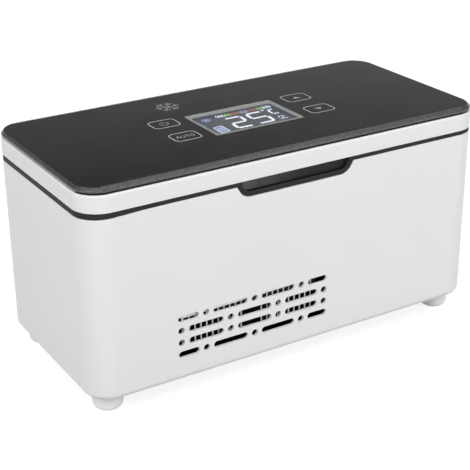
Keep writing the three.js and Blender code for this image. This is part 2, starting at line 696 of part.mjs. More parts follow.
// Cold block: carries the cold from the module up to the tray, tapped for the two clamping screws
function coldBlock() {
  const half = COLD_BLOCK_LENGTH / 2;
  const reach = COLD_BLOCK_DEPTH / 2;
  let body = block([coolerX - half, -reach, blockBottom], [coolerX + half, reach, blockTop]);
  for (const y of [-SINK_SCREW_Y, SINK_SCREW_Y]) {
    const hole = upright(screwHole, blockBottom - OVERLAP, blockTop - BOSS_WALL, coolerX, y, SMALL_SIDES);
    body = body.subtract(hole);
  }
  return body;
}

// Thermoelectric module: two ceramic plates with the block of elements set back between them
function coolingModule() {
  const plate = MODULE_HEIGHT / 4;
  const half = MODULE_SIDE / 2;
  const setBack = half - plate;
  const top = moduleBottom + MODULE_HEIGHT;
  const lower = block([coolerX - half, -half, moduleBottom], [coolerX + half, half, moduleBottom + plate]);
  const upper = block([coolerX - half, -half, top - plate], [coolerX + half, half, top]);
  const middle = block([coolerX - setBack, -setBack, moduleBottom], [coolerX + setBack, setBack, top]);
  return joined([lower, upper, middle]);
}

// Fan frame: a square shroud with corner holes, three struts and the bush that carries the rotor
function fanFrame() {
  const bushTop = fanBottom + FAN_BUSH_HEIGHT;
  const bore = FAN_SHAFT_RADIUS + CLEARANCE;
  const reach = fanBoreRadius + OVERLAP;
  const plan = { length: fanSide, depth: fanSide, radius: FAN_CORNER_RADIUS };
  let frame = prism(plan, fanBottom, fanTop, coolerX, 0);
  const [below, above] = [fanBottom - OVERLAP, fanTop + OVERLAP];
  frame = frame.subtract(upright(fanBoreRadius, below, above, coolerX, 0, 2 * ROUND_SIDES));
  frame = frame.add(upright(FAN_HUB_RADIUS, fanBottom, fanBottom + FAN_PLATE, coolerX, 0));
  for (let strut = 0; strut < FAN_STRUTS; strut += 1) {
    const arm = new THREE.BoxGeometry(reach, FAN_STRUT_WIDTH, FAN_PLATE);
    arm.translate(reach / 2, 0, fanBottom + FAN_PLATE / 2);
    arm.rotateZ((strut * 2 * Math.PI) / FAN_STRUTS + Math.PI / 2);
    frame = frame.add(toSolid(arm.translate(coolerX, 0, 0)));
  }
  frame = frame.add(upright(bore + FAN_BUSH_WALL, fanBottom, bushTop, coolerX, 0, SMALL_SIDES));
  const boreEnd = fanBottom + FAN_PLATE / 2;
  frame = frame.subtract(upright(bore, boreEnd, bushTop + OVERLAP, coolerX, 0, SMALL_SIDES));
  for (const [x, y] of fanScrewPlaces) {
    frame = frame.subtract(upright(screwHole, below, above, x, y, SMALL_SIDES));
  }
  return frame;
}

// Fan rotor: a cup-shaped hub on its shaft with curved, pitched blades
function fanRotor() {
  const low = fanBottom + FAN_PLATE + CLEARANCE;
  const high = fanTop - 2 * CLEARANCE;
  const shaftEnd = fanBottom + FAN_PLATE / 2 + CLEARANCE;
  const ceiling = high - FAN_HUB_WALL;
  const profile = [
    [0, shaftEnd],
    [FAN_SHAFT_RADIUS, shaftEnd],
    [FAN_SHAFT_RADIUS, ceiling],
    [FAN_HUB_RADIUS - FAN_HUB_WALL, ceiling],
    [FAN_HUB_RADIUS - FAN_HUB_WALL, low],
    [FAN_HUB_RADIUS, low],
    [FAN_HUB_RADIUS, high - OVERLAP],
    [FAN_HUB_RADIUS - OVERLAP, high],
    [0, high],
  ];
  let rotor = toSolid(turned(profile));
  for (let blade = 0; blade < FAN_BLADES; blade += 1) {
    const turn = (blade * 2 * Math.PI) / FAN_BLADES;
    rotor = rotor.add(toSolid(fanBlade(low, high - OVERLAP).rotateZ(turn)));
  }
  return toGeometry(rotor);
}

function fanBlade(low, high) {
  const steps = BLADE_STEPS;
  const root = FAN_HUB_RADIUS - OVERLAP;
  const tip = fanBoreRadius - FAN_TIP_GAP;
  const positions = [];
  const index = [];
  const side = (steps + 1) ** 2;
  for (const lift of [0, BLADE_THICKNESS]) {
    for (let out = 0; out <= steps; out += 1) {
      for (let along = 0; along <= steps; along += 1) {
        const radius = root + ((tip - root) * out) / steps;
        const angle = BLADE_CHORD_ANGLE * (along / steps - 0.5) + BLADE_SWEEP_ANGLE * (out / steps) ** 2;
        const z = low + lift + (high - BLADE_THICKNESS - low) * (along / steps);
        positions.push(radius * Math.cos(angle), radius * Math.sin(angle), z);
      }
    }
  }
  const quad = (a, b, c, d) => index.push(a, b, c, a, c, d);
  const at = (out, along, upper) => upper * side + out * (steps + 1) + along;
  for (let out = 0; out < steps; out += 1) {
    for (let along = 0; along < steps; along += 1) {
      quad(at(out, along, 1), at(out + 1, along, 1), at(out + 1, along + 1, 1), at(out, along + 1, 1));
      quad(at(out, along, 0), at(out, along + 1, 0), at(out + 1, along + 1, 0), at(out + 1, along, 0));
    }
  }
  for (let step = 0; step < steps; step += 1) {
    quad(at(step, 0, 0), at(step + 1, 0, 0), at(step + 1, 0, 1), at(step, 0, 1));
    quad(at(step + 1, steps, 0), at(step, steps, 0), at(step, steps, 1), at(step + 1, steps, 1));
    quad(at(0, step + 1, 0), at(0, step, 0), at(0, step, 1), at(0, step + 1, 1));
    quad(at(steps, step, 0), at(steps, step + 1, 0), at(steps, step + 1, 1), at(steps, step, 1));
  }
  const geometry = new THREE.BufferGeometry();
  geometry.setAttribute("position", new THREE.Float32BufferAttribute(positions, 3));
  geometry.setIndex(index);
  return geometry;
}

// Battery: round cells lying along X in a cradle whose corner posts carry the main board
const middleCell = (CELL_COUNT - 1) / 2;
const cellPlaces = Array.from({ length: CELL_COUNT }, (_, cell) => (cell - middleCell) * CELL_PITCH);

function batteryCell() {
  const bodyEnd = CELL_LENGTH - CELL_NUB_HEIGHT;
  const shoulder = CELL_RADIUS - CELL_EDGE;
  const profile = [
    [0, 0],
    [shoulder, 0],
    [CELL_RADIUS, CELL_EDGE],
    [CELL_RADIUS, bodyEnd - CELL_EDGE],
    [shoulder, bodyEnd],
    [CELL_NUB_RADIUS, bodyEnd],
    [CELL_NUB_RADIUS, CELL_LENGTH],
    [0, CELL_LENGTH],
  ];
  return turned(profile).rotateY(Math.PI / 2);
}

function batteryCradle() {
  const bottom = baseTop + SEAT;
  const left = batteryX - cradleHalfLength;
  const right = batteryX + cradleHalfLength;
  let cradle = block([left, -cradleHalfDepth, bottom], [right, cradleHalfDepth, cellHeight - OVERLAP]);
  const half = CRADLE_POST / 2;
  for (const [x, y] of fourCorners(cradleHalfLength - half, cradleHalfDepth - half)) {
    const low = [batteryX + x - half, y - half, bottom];
    cradle = cradle.add(block(low, [batteryX + x + half, y + half, boardBottom - SEAT]));
  }
  for (const y of cellPlaces) {
    const inner = cradleHalfLength - CRADLE_WALL;
    cradle = cradle.subtract(
      barrel(CELL_RADIUS + CLEARANCE, batteryX - inner, batteryX + inner, y, cellHeight),
    );
  }
  return cradle;
}

// Main board with its tall parts: a choke, two capacitors and the driver chip
function mainBoard() {
  const left = batteryX - cradleHalfLength;
  const right = batteryX + cradleHalfLength;
  const plate = block([left, -cradleHalfDepth, boardBottom], [right, cradleHalfDepth, boardTop]);
  const seat = boardTop - OVERLAP;
  const chokeY = CHOKE_FROM_EDGE - cradleHalfDepth;
  const choke = upright(CHOKE_RADIUS, seat, boardTop + CHOKE_HEIGHT, left + CHOKE_FROM_EDGE, chokeY);
  const capacitors = [0, CAPACITOR_SPACING].map((along) => {
    const x = right - CAPACITOR_FROM_EDGE;
    const y = CAPACITOR_FROM_EDGE - cradleHalfDepth + along;
    return upright(CAPACITOR_RADIUS, seat, boardTop + CAPACITOR_HEIGHT, x, y, SMALL_SIDES);
  });
  const half = CHIP_SIDE / 2;
  const chip = block([batteryX - half, -half, seat], [batteryX + half, half, boardTop + CHIP_HEIGHT]);
  return joined([plate, choke, ...capacitors, chip]);
}

// Power inlet: a block on the main board with a nose through the rear wall, a bore and a centre pin
function powerInlet() {
  const bottom = boardTop + SEAT;
  const bodyRear = rear - CASE_WALL - CASE_DRAFT - CLEARANCE;
  const noseEnd = rear - CLEARANCE;
  const centre = bottom + JACK_HEIGHT / 2;
  const round = (radius) => {
    const shape = new THREE.Shape();
    shape.absarc(jackX, centre, radius, 0, 2 * Math.PI, false);
    return shape;
  };
  const half = JACK_LENGTH / 2;
  const low = [jackX - half, bodyRear - JACK_DEPTH, bottom];
  let inlet = block(low, [jackX + half, bodyRear, bottom + JACK_HEIGHT]);
  const boreEnd = noseEnd - JACK_BORE_DEPTH;
  inlet = inlet.add(throughFront(round(JACK_NOSE_RADIUS), bodyRear - OVERLAP, noseEnd, ROUND_SIDES / 4));
  const bore = throughFront(round(JACK_BORE_RADIUS), boreEnd, noseEnd + OVERLAP, ROUND_SIDES / 4);
  const pinEnd = noseEnd - JACK_PIN_RECESS;
  const pin = throughFront(round(JACK_PIN_RADIUS), boreEnd - OVERLAP, pinEnd, SMALL_SIDES / 4);
  return inlet.subtract(bore).add(pin);
}

// Lid shell: rounded top edge, hollow underside, display opening and screw bosses
function lidShell() {
  const skin = [[casePlan, lidBottom]];
  for (let step = 0; step <= FILLET_STEPS; step += 1) {
    const angle = (step / FILLET_STEPS) * (Math.PI / 2);
    const inset = LID_EDGE_ROUND * (1 - Math.cos(angle));
    skin.push([shrink(casePlan, inset), lidTop - LID_EDGE_ROUND * (1 - Math.sin(angle))]);
  }
  const ceiling = lidTop - LID_TOP_WALL;
  let shell = loft(skin);
  shell = shell.subtract(prism(shrink(casePlan, LID_WALL), lidBottom - OVERLAP, ceiling));
  const opening = { length: displayOpeningLength, depth: DISPLAY_OPENING_DEPTH, radius: LEAST_RADIUS };
  shell = shell.subtract(prism(opening, ceiling - OVERLAP, lidTop + OVERLAP, 0, WINDOW_Y));
  for (const [x, y] of lidScrewPlaces) {
    const bottom = coverTop + SEAT;
    const wall = Math.sign(x) * (side - LID_WALL / 2);
    const rib = BOSS_WALL / 2;
    const low = [Math.min(x, wall), y - rib, bottom];
    shell = shell.add(upright(bossRadius - BOSS_WALL / 2, bottom, ceiling + OVERLAP, x, y, SMALL_SIDES));
    shell = shell.add(block(low, [Math.max(x, wall), y + rib, ceiling + OVERLAP]));
    shell = shell.subtract(upright(screwHole, bottom - OVERLAP, ceiling, x, y, SMALL_SIDES));
  }
  return shell.subtract(hingeRoom());
}

// Top panel: one black plate with an upright edge, a bevel all round and the display window cut through
function topPanel() {
  const foot = shrink(casePlan, PANEL_INSET);
  const face = shrink(foot, PANEL_BEVEL);
  const plate = loft([[foot, panelBottom], [foot, panelBottom + PANEL_EDGE_HEIGHT], [face, panelTop]]);
  return plate.subtract(prism(windowPlan, panelBottom - OVERLAP, panelTop + OVERLAP, 0, WINDOW_Y));
}

const windowPlan = { length: WINDOW_LENGTH, depth: WINDOW_DEPTH, radius: LEAST_RADIUS };
const panePlan = shrink(windowPlan, CLEARANCE);
const screenPlan = { length: SCREEN_LENGTH, depth: SCREEN_DEPTH, radius: LEAST_RADIUS };

function displayWindow() {
  return prism(panePlan, windowBottom, panelTop, 0, WINDOW_Y);
}

function screenFrame() {
  const top = windowBottom - SEAT;
  const frame = prism(panePlan, screenFrameBottom, top, 0, WINDOW_Y);
  return frame.subtract(prism(screenPlan, screenFrameBottom - OVERLAP, top + OVERLAP, SCREEN_X, SCREEN_Y));
}

function screen() {
  return prism(shrink(panePlan, CLEARANCE), displayBoardTop + SEAT, screenFrameBottom - SEAT, 0, WINDOW_Y);
}

function displayBoard() {
  const plan = {
    length: displayOpeningLength + 2 * DISPLAY_BOARD_MARGIN,
    depth: DISPLAY_OPENING_DEPTH + 2 * DISPLAY_BOARD_MARGIN,
    radius: LEAST_RADIUS,
  };
  return prism(plan, displayBoardBottom, displayBoardTop, 0, WINDOW_Y);
}

// Inner cover: plate, hollow plug for the mouth, gasket groove, magnet cups and hinge knuckles
const plugPlan = shrink(mouthPlan, PLUG_GAP);
const plugHollow = shrink(plugPlan, PLUG_TAPER + PLUG_WALL);
const gasketInner = shrink(mouthPlan, -GASKET_FROM_MOUTH);
const gasketOuter = shrink(gasketInner, -GASKET_WIDTH);

function innerCover() {
  const plate = prism(shrink(casePlan, LID_WALL + RUNNING_GAP), coverBottom, coverTop);
  const plug = loft([[shrink(plugPlan, PLUG_TAPER), plugBottom], [plugPlan, coverBottom + OVERLAP]]);
  let cover = plate.add(plug).subtract(hingeRoom());
  for (const x of hingePlaces) {
    const half = HINGE_KNUCKLE / 2;
    cover = cover.add(barrel(HINGE_RADIUS, x - half, x + half, hingeY, hingeZ));
    cover = cover.add(block([x - half, rear - 2 * LID_WALL, coverBottom], [x + half, hingeY, coverTop]));
  }
  const cupTop = coverBottom + MAGNET_SKIN + SEAT + MAGNET_HEIGHT;
  for (const [x, y] of magnetPlaces) {
    const cup = MAGNET_RADIUS + CLEARANCE + MAGNET_CUP_WALL;
    cover = cover.add(upright(cup, coverBottom, cupTop, x, y, SMALL_SIDES));
    const pocket = MAGNET_RADIUS + CLEARANCE;
    cover = cover.subtract(upright(pocket, coverBottom + MAGNET_SKIN, cupTop + OVERLAP, x, y, SMALL_SIDES));
  }
  for (const [x, y] of lidScrewPlaces) {
    const headTop = coverBottom + SCREW_HEAD_HEIGHT + SEAT;
    const hole = upright(screwHole, coverBottom - OVERLAP, coverTop + OVERLAP, x, y, SMALL_SIDES);
    cover = cover.subtract(hole);
    cover = cover.subtract(upright(screwHeadHole, coverBottom - OVERLAP, headTop, x, y, SMALL_SIDES));
  }
  const grooveTop = coverBottom + GASKET_GROOVE;
  const groove = prism(shrink(gasketOuter, -CLEARANCE), coverBottom - OVERLAP, grooveTop).subtract(
    prism(shrink(gasketInner, CLEARANCE), coverBottom - 2 * OVERLAP, grooveTop + OVERLAP),
  );
  cover = cover.subtract(groove);
  cover = cover.subtract(prism(plugHollow, plugBottom + PLUG_WALL, coverTop + OVERLAP));
  cover = cover.subtract(ribbonSlot(coverBottom, coverTop));
  return cover.subtract(pinBores());
}

function gasket() {
  const bottom = flangeTop + SEAT;
  const top = coverBottom + GASKET_GROOVE - SEAT;
  return prism(gasketOuter, bottom, top).subtract(prism(gasketInner, bottom - OVERLAP, top + OVERLAP));
}

function lidFoam() {
  return prism(shrink(plugHollow, CLEARANCE), plugBottom + PLUG_WALL + SEAT, coverTop - SEAT);
}

// Ribbon cable: a flat strip along a route in Y and Z, from under the display board to the main board
function ribbon() {
  const lidLevel = displayBoardBottom - SEAT - RIBBON_THICKNESS / 2;
  const boardLevel = boardTop + SEAT + RIBBON_THICKNESS / 2;
  const tailEnd = ribbonY - RIBBON_TAIL;
  const bend = (y, z, from) => {
    const points = [];
    for (let step = 0; step <= FILLET_STEPS; step += 1) {
      const angle = from - (step / FILLET_STEPS) * (Math.PI / 2);
      points.push([y + RIBBON_BEND * Math.cos(angle), z + RIBBON_BEND * Math.sin(angle)]);
    }
    return points;
  };
  const route = [
    [tailEnd, lidLevel],
    ...bend(ribbonY - RIBBON_BEND, lidLevel - RIBBON_BEND, Math.PI / 2),
    ...bend(ribbonY - RIBBON_BEND, boardLevel + RIBBON_BEND, 0),
    [cradleHalfDepth - CRADLE_POST, boardLevel],
  ];
  const offset = (by) => route.map(([y, z], place) => {
    const before = route[Math.max(place - 1, 0)];
    const after = route[Math.min(place + 1, route.length - 1)];
    const [dy, dz] = [after[0] - before[0], after[1] - before[1]];
    const run = Math.hypot(dy, dz);
    return new THREE.Vector2(y - (by * dz) / run, z + (by * dy) / run);
  });
  const half = RIBBON_THICKNESS / 2;
  const shape = new THREE.Shape([...offset(-half), ...offset(half).reverse()]);
  const strip = new THREE.ExtrudeGeometry(shape, { depth: RIBBON_WIDTH, bevelEnabled: false });
  const turn = new THREE.Matrix4().makeBasis(
    new THREE.Vector3(0, 1, 0),
    new THREE.Vector3(0, 0, 1),
    new THREE.Vector3(1, 0, 0),
  );
  return strip.applyMatrix4(turn).translate(ribbonX - RIBBON_WIDTH / 2, 0, 0);
}

// Body of the case
const body = new THREE.Group();
addPiece(body, "outer_case", toGeometry(outerCase()), WHITE_PLASTIC);
addPiece(body, "base_plate", toGeometry(basePlate()), WHITE_PLASTIC);
footPlaces.forEach(([x, y], place) => {
  addPiece(body, `foot_${place + 1}`, foot(), WHITE_PLASTIC, [x, y, 0]);
});
baseScrewPlaces.forEach(([x, y], place) => {
  addPiece(body, `base_screw_${place + 1}`, screw(BASE_BOSS_HEIGHT / 2), STEEL, [x, y, caseBottom]);
});
addPiece(body, "trim_frame", toGeometry(trimFrame()), BLACK_PLASTIC);
addPiece(body, "cold_tray", toGeometry(coldTray()), ALUMINIUM);
addPiece(body, "insulation_foam", toGeometry(insulation()), FOAM);
addPiece(body, "temperature_sensor", sensor(), STEEL, sensorPlace);
addPiece(body, "cold_block", toGeometry(coldBlock()), ALUMINIUM);
addPiece(body, "cooling_module", toGeometry(coolingModule()), CERAMIC);
addPiece(body, "heat_sink", toGeometry(heatSink()), ALUMINIUM);
const clampLength = SINK_BASE + MODULE_HEIGHT + COLD_BLOCK_HEIGHT / 2;
[-SINK_SCREW_Y, SINK_SCREW_Y].forEach((y, place) => {
  const seat = sinkUnderside - SCREW_HEAD_HEIGHT - SEAT;
  addPiece(body, `sink_screw_${place + 1}`, screw(clampLength), STEEL, [coolerX, y, seat]);
});
addPiece(body, "fan_frame", toGeometry(fanFrame()), BLACK_PLASTIC);
fanScrewPlaces.forEach(([x, y], place) => {
  const length = BASE_THICKNESS + FAN_HEIGHT / 2;
  addPiece(body, `fan_screw_${place + 1}`, screw(length), STEEL, [x, y, caseBottom]);
});
addPiece(body, "fan_rotor", fanRotor(), BLACK_PLASTIC, [coolerX, 0, 0]);
addPiece(body, "battery_cradle", toGeometry(batteryCradle()), BLACK_PLASTIC);
cellPlaces.forEach((y, place) => {
  const seat = [batteryX - CELL_LENGTH / 2, y, cellHeight];
  addPiece(body, `battery_cell_${place + 1}`, batteryCell(), CELL_WRAP, seat);
});
addPiece(body, "main_board", toGeometry(mainBoard()), GREEN_BOARD);
addPiece(body, "power_inlet", toGeometry(powerInlet()), BLACK_PLASTIC);
addPiece(body, "display_ribbon", ribbon(), RIBBON_FILM);
const magnetProfile = [[0, 0], [MAGNET_RADIUS, 0], [MAGNET_RADIUS, MAGNET_HEIGHT], [0, MAGNET_HEIGHT]];
const magnet = () => turned(magnetProfile, SMALL_SIDES);
magnetPlaces.forEach(([x, y], place) => {
  const bottom = flangeTop - MAGNET_SKIN - SEAT - MAGNET_HEIGHT;
  addPiece(body, `case_magnet_${place + 1}`, magnet(), STEEL, [x, y, bottom]);
});
hingePlaces.forEach((x, place) => {
  const pin = barrel(HINGE_PIN_RADIUS, -hingeWidth / 2, hingeWidth / 2, 0, 0, SMALL_SIDES);
  addPiece(body, `hinge_pin_${place + 1}`, toGeometry(pin), STEEL, [x, hingeY, hingeZ]);
});

// Lid, closed
const lid = new THREE.Group();
addPiece(lid, "lid_shell", toGeometry(lidShell()), WHITE_PLASTIC);
addPiece(lid, "top_panel", toGeometry(topPanel()), BLACK_GLOSS);
addPiece(lid, "display_window", toGeometry(displayWindow()), CLEAR_PANE);
addPiece(lid, "screen_frame", toGeometry(screenFrame()), GREY_FRAME);
addPiece(lid, "screen", toGeometry(screen()), DARK_SCREEN);
addPiece(lid, "display_board", toGeometry(displayBoard()), GREEN_BOARD);
const keyNames = ["mode", "down", "power", "up"];
fourCorners(KEY_X, KEY_SPACING / 2).forEach(([x, y], place) => {
  const height = panelBottom - SEAT - displayBoardTop - SEAT;
  const profile = [[0, 0], [KEY_SENSOR_RADIUS, 0], [KEY_SENSOR_RADIUS, height], [0, height]];
  const seat = [x, y + KEY_Y, displayBoardTop + SEAT];
  addPiece(lid, `touch_sensor_${keyNames[place]}`, turned(profile, SMALL_SIDES), RUBBER, seat);
});
addPiece(lid, "inner_cover", toGeometry(innerCover()), BLACK_PLASTIC);
addPiece(lid, "lid_gasket", toGeometry(gasket()), RUBBER);
addPiece(lid, "lid_foam", toGeometry(lidFoam()), FOAM);
lidScrewPlaces.forEach(([x, y], place) => {
  const length = coverTop + SEAT - coverBottom;
  addPiece(lid, `lid_screw_${place + 1}`, screw(length), STEEL, [x, y, coverBottom]);
});
magnetPlaces.forEach(([x, y], place) => {
  addPiece(lid, `lid_magnet_${place + 1}`, magnet(), STEEL, [x, y, coverBottom + MAGNET_SKIN + SEAT]);
});

const coolingCase = new THREE.Group();
coolingCase.add(body, lid);

export default coolingCase;
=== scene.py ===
import math

import bmesh
import bpy
from mathutils import Matrix, Vector


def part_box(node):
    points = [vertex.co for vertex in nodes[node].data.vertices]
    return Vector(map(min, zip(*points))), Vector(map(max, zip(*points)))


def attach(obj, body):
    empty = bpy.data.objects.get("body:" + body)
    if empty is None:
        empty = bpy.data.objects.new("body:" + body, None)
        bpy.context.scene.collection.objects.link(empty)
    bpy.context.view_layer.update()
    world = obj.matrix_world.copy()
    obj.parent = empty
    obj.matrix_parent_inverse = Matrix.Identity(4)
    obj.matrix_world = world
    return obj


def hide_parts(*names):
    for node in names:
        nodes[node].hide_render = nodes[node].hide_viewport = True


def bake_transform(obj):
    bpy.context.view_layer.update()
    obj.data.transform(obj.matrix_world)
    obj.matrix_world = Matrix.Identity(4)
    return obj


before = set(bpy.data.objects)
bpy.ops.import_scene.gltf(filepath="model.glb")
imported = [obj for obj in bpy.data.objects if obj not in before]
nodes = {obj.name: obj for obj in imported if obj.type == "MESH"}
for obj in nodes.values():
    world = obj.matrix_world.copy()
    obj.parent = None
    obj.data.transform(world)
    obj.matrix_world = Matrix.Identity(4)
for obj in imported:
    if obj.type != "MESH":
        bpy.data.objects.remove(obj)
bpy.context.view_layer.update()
scene = bpy.context.scene

# Sizes in millimetres, as in the part. A plan is (length, depth, corner radius)
MM = 0.001
CASE = (208.0, 97.5, 12.4)
MOUTH = (178.0, 64.0, 8.0)
SIDE = CASE[0] / 2
FRONT = -CASE[1] / 2
REAR = CASE[1] / 2
WALL = 2.2
DRAFT = 0.1
BOTTOM_FILLET = 3.0

# Heights, from the floor up
CASE_BOTTOM = 9.0
BASE_TOP = 11.4
SINK_BASE_Z = 37.1
TRAY_BOTTOM = 55.15
RIM_TOP = 86.8
SKIRT_BOTTOM = 86.95
PLUG_BOTTOM = 91.3
RIB_BOTTOM = 91.95
CASE_TOP = 94.95
FLANGE_BOTTOM = 95.1
FLANGE_TOP = 96.8
LID_BOTTOM = 97.0
COVER_BOTTOM = 97.3
COVER_TOP = 99.3
LID_CEILING = 103.1
LID_TOP = 104.85
PANEL_BOTTOM = 105.0
LCD_TOP = 106.5
PANEL_TOP = 107.9

# Black line between case and lid: it runs lower towards the left end
RIM_DIP = 0.8
DIP_START = -69.0

# Panel and display: print and lit signs are one film thick
INK = 0.03
PANEL_FACE = PANEL_TOP - INK
LCD_FACE = LCD_TOP - INK
WINDOW = (47.5, 31.0, 0.4)
WINDOW_X = -0.5
WINDOW_Y = -2.95
KEYS = {"power": (-36.5, 8.5), "mode": (-36.5, -11.3), "up": (36.0, 8.5), "down": (36.0, -11.3)}

# Hinge at the rear
HINGE_X = 55.0
HINGE_Y = 48.45
HINGE_Z = 97.4
HINGE_RADIUS = 2.5
HINGE_GAP = 0.4
KNUCKLE = 14.0
EAR = 5.0
PIN_RADIUS = 1.0
PIN_FIT = 0.15

# Heat sink and vents
COOLER_X = -22.85
FIN = 0.8
FIN_PITCH = 3.0
FIN_CHANNEL = 10.0
VENT_X = COOLER_X - 0.65
VENT_Z = 30.8
VENT_WIDTH = 3.2
VENT_SLOT = 17.8
VENT_PITCH = 25.2
VENT_ROW = 5.87
VENT_EDGE = 0.1
VENT_RELIEF = 1.4

# Finger notch
NOTCH_X = -1.5
NOTCH_HALF = 30.5
NOTCH_DROP = 5.35
NOTCH_LEAN = 0.61
NOTCH_RADIUS = 6.4
NOTCH_LIP = 2.1
POCKET_BACK = FRONT + 2.7

# Places of the smaller pieces
RIBBON_X = 33.0
RIBBON_Y = 42.6
JACK = (62.0, 40.8)
QUARTERS = [(-1, -1), (-1, 1), (1, -1), (1, 1)]
FOOT_PLACES = [(sx * 92.4, sy * 35.8) for sx, sy in QUARTERS]
BASE_SCREWS = [(sx * 95.0, sy * 20.0) for sx, sy in QUARTERS]
FAN_SCREWS = [(COOLER_X + sx * 25.0, sy * 25.0) for sx, sy in QUARTERS]
LID_SCREWS = [(sx * 98.5, sy * 28.0) for sx, sy in QUARTERS]
MAGNETS = [(-62.0, -41.5), (62.0, -41.5)]
MAGNET_WELL = 2.5
CASE_WELL = (93.2, 96.0)
LID_WELL = (98.1, 100.0)

# Fineness of the curves, and the angle from which an edge stays sharp
CORNER_STEPS = 18
SIDE_POINTS = 12
ARC_STEPS = 6
ROUND_STEPS = 48
CREASE = math.radians(38.0)


# Shapes: each is a list of points in millimetres and a list of faces
def inset(plan, by):
    """A plan drawn in on all sides."""
    length, depth, radius = plan
    return length - 2 * by, depth - 2 * by, max(radius - by, 0.4)


def outline(plan, z, centre=(0.0, 0.0), steps=CORNER_STEPS, between=0):
    """A rounded rectangle lying at height z, with points between its corners where they are asked for."""
    length, depth, radius = plan
    corners = []
    for turn, (sx, sy) in enumerate(((1, 1), (-1, 1), (-1, -1), (1, -1))):
        corners.append([])
        for step in range(steps + 1):
            angle = math.pi / 2 * (turn + step / steps)
            x = centre[0] + sx * (length / 2 - radius) + radius * math.cos(angle)
            y = centre[1] + sy * (depth / 2 - radius) + radius * math.sin(angle)
            corners[-1].append(Vector((x, y, z)))
    points = []
    for corner, following in zip(corners, corners[1:] + corners[:1]):
        points += corner
        points += [corner[-1].lerp(following[0], step / (between + 1)) for step in range(1, between + 1)]
    return [tuple(point) for point in points]


def softened(corners, closed=False, steps=ARC_STEPS):
    """A path through corners given as (u, v, radius), each corner turned into an arc of its radius."""
    path = []
    for place, (u, v, radius) in enumerate(corners):
        end = not closed and place in (0, len(corners) - 1)
        here = Vector((u, v))
        if end or radius == 0:
            path.append((u, v))
            continue
        back = (Vector(corners[place - 1][:2]) - here).normalized()
        ahead = (Vector(corners[(place + 1) % len(corners)][:2]) - here).normalized()
        half = back.angle(ahead) / 2
        centre = here + (back + ahead).normalized() * (radius / math.sin(half))
        first = here + back * (radius / math.tan(half)) - centre
        last = here + ahead * (radius / math.tan(half)) - centre
        sweep = first.angle(last)
        for step in range(steps + 1):
            part = step / steps
            arm = first * math.sin((1 - part) * sweep) + last * math.sin(part * sweep)
            path.append(tuple(centre + arm / math.sin(sweep)))
    return path


def skin(rings, loop=False):
    """A skin through rings of equal count, closed by flat ends or back onto its first ring."""
    count = len(rings[0])
    points = [point for ring in rings for point in ring]
    faces = []
    for level in range(len(rings) if loop else len(rings) - 1):
        low = level * count
        high = (level + 1) % len(rings) * count
        for here in range(count):
            after = (here + 1) % count
            faces.append((low + here, low + after, high + after, high + here))
    if not loop:
        faces.append(tuple(reversed(range(count))))
        faces.append(tuple(range((len(rings) - 1) * count, len(rings) * count)))
    return points, faces


def together(shapes):
    """Several shapes as one."""
    points, faces = [], []
    for more_points, more_faces in shapes:
        start = len(points)
        points.extend(more_points)
        faces.extend(tuple(start + index for index in face) for face in more_faces)
    return points, faces


def rounds(plan, path, between=0):
    """Rings along a path of (inset from the plan, height)."""
    return [outline(inset(plan, by), z, between=between) for by, z in path]


def moulded(plan, corners, closed=False, steps=ARC_STEPS, between=0):
    """A profile of (inset from the plan, height, radius) corners carried round a rounded rectangle."""
    return skin(rounds(plan, softened(corners, closed, steps), between), closed)


def dipped(shape, low, high):
    """A shape whose points between two heights run lower at the left end, where the black line is broader."""
    points, faces = shape
    lowered = []
    for x, y, z in points:
        share = min(max((DIP_START - x) / (DIP_START + SIDE), 0.0), 1.0)
        fall = RIM_DIP * share * share * (3 - 2 * share)
        lowered.append((x, y, z - fall if low <= z <= high else z))
    return lowered, faces


def turned(corners, centre, axis="Z", steps=ROUND_STEPS):
    """A profile of (radius, distance along the axis, rounding) corners turned about an axis."""
    rings = []
    for radius, along in softened(corners):
        ring = []
        for step in range(steps):
            angle = 2 * math.pi * step / steps
            u, v = radius * math.cos(angle), radius * math.sin(angle)
            offset = {"X": (along, u, v), "Y": (u, along, v), "Z": (u, v, along)}[axis]
            ring.append(tuple(c + o for c, o in zip(centre, offset)))
        rings.append(ring)
    return skin(rings)


def drum(radius, low, high, edge=0.0):
    """Profile of a round bar between two distances along its axis."""
    return [(radius / 2, low, 0), (radius, low, edge), (radius, high, edge), (radius / 2, high, 0)]


def slab(plan, low, high, centre, steps=4):
    """A flat plate with rounded corners between two heights."""
    return skin([outline(plan, z, centre, steps) for z in (low, high)])


def brick(low, high):
    """A block between two corners."""
    (x0, y0, z0), (x1, y1, z1) = low, high
    ring = [(x0, y0), (x1, y0), (x1, y1), (x0, y1)]
    return skin([[(x, y, z) for x, y in ring] for z in (z0, z1)])


def stadium(half, radius, steps=10):
    """A round-ended slot about the origin, its straight part 2 * half long."""
    points = []
    for side, start in ((1, -math.pi / 2), (-1, math.pi / 2)):
        for step in range(steps + 1):
            angle = start + math.pi * step / steps
            points.append((side * half + radius * math.cos(angle), radius * math.sin(angle)))
    return points


def flare(radius, steps=4):
    """(depth, growth) pairs that round the mouth of a cut."""
    angles = [math.pi / 2 * (1 - step / steps) for step in range(steps + 1)]
    return [(radius * (1 - math.sin(a)), radius * (1 - math.cos(a))) for a in angles]


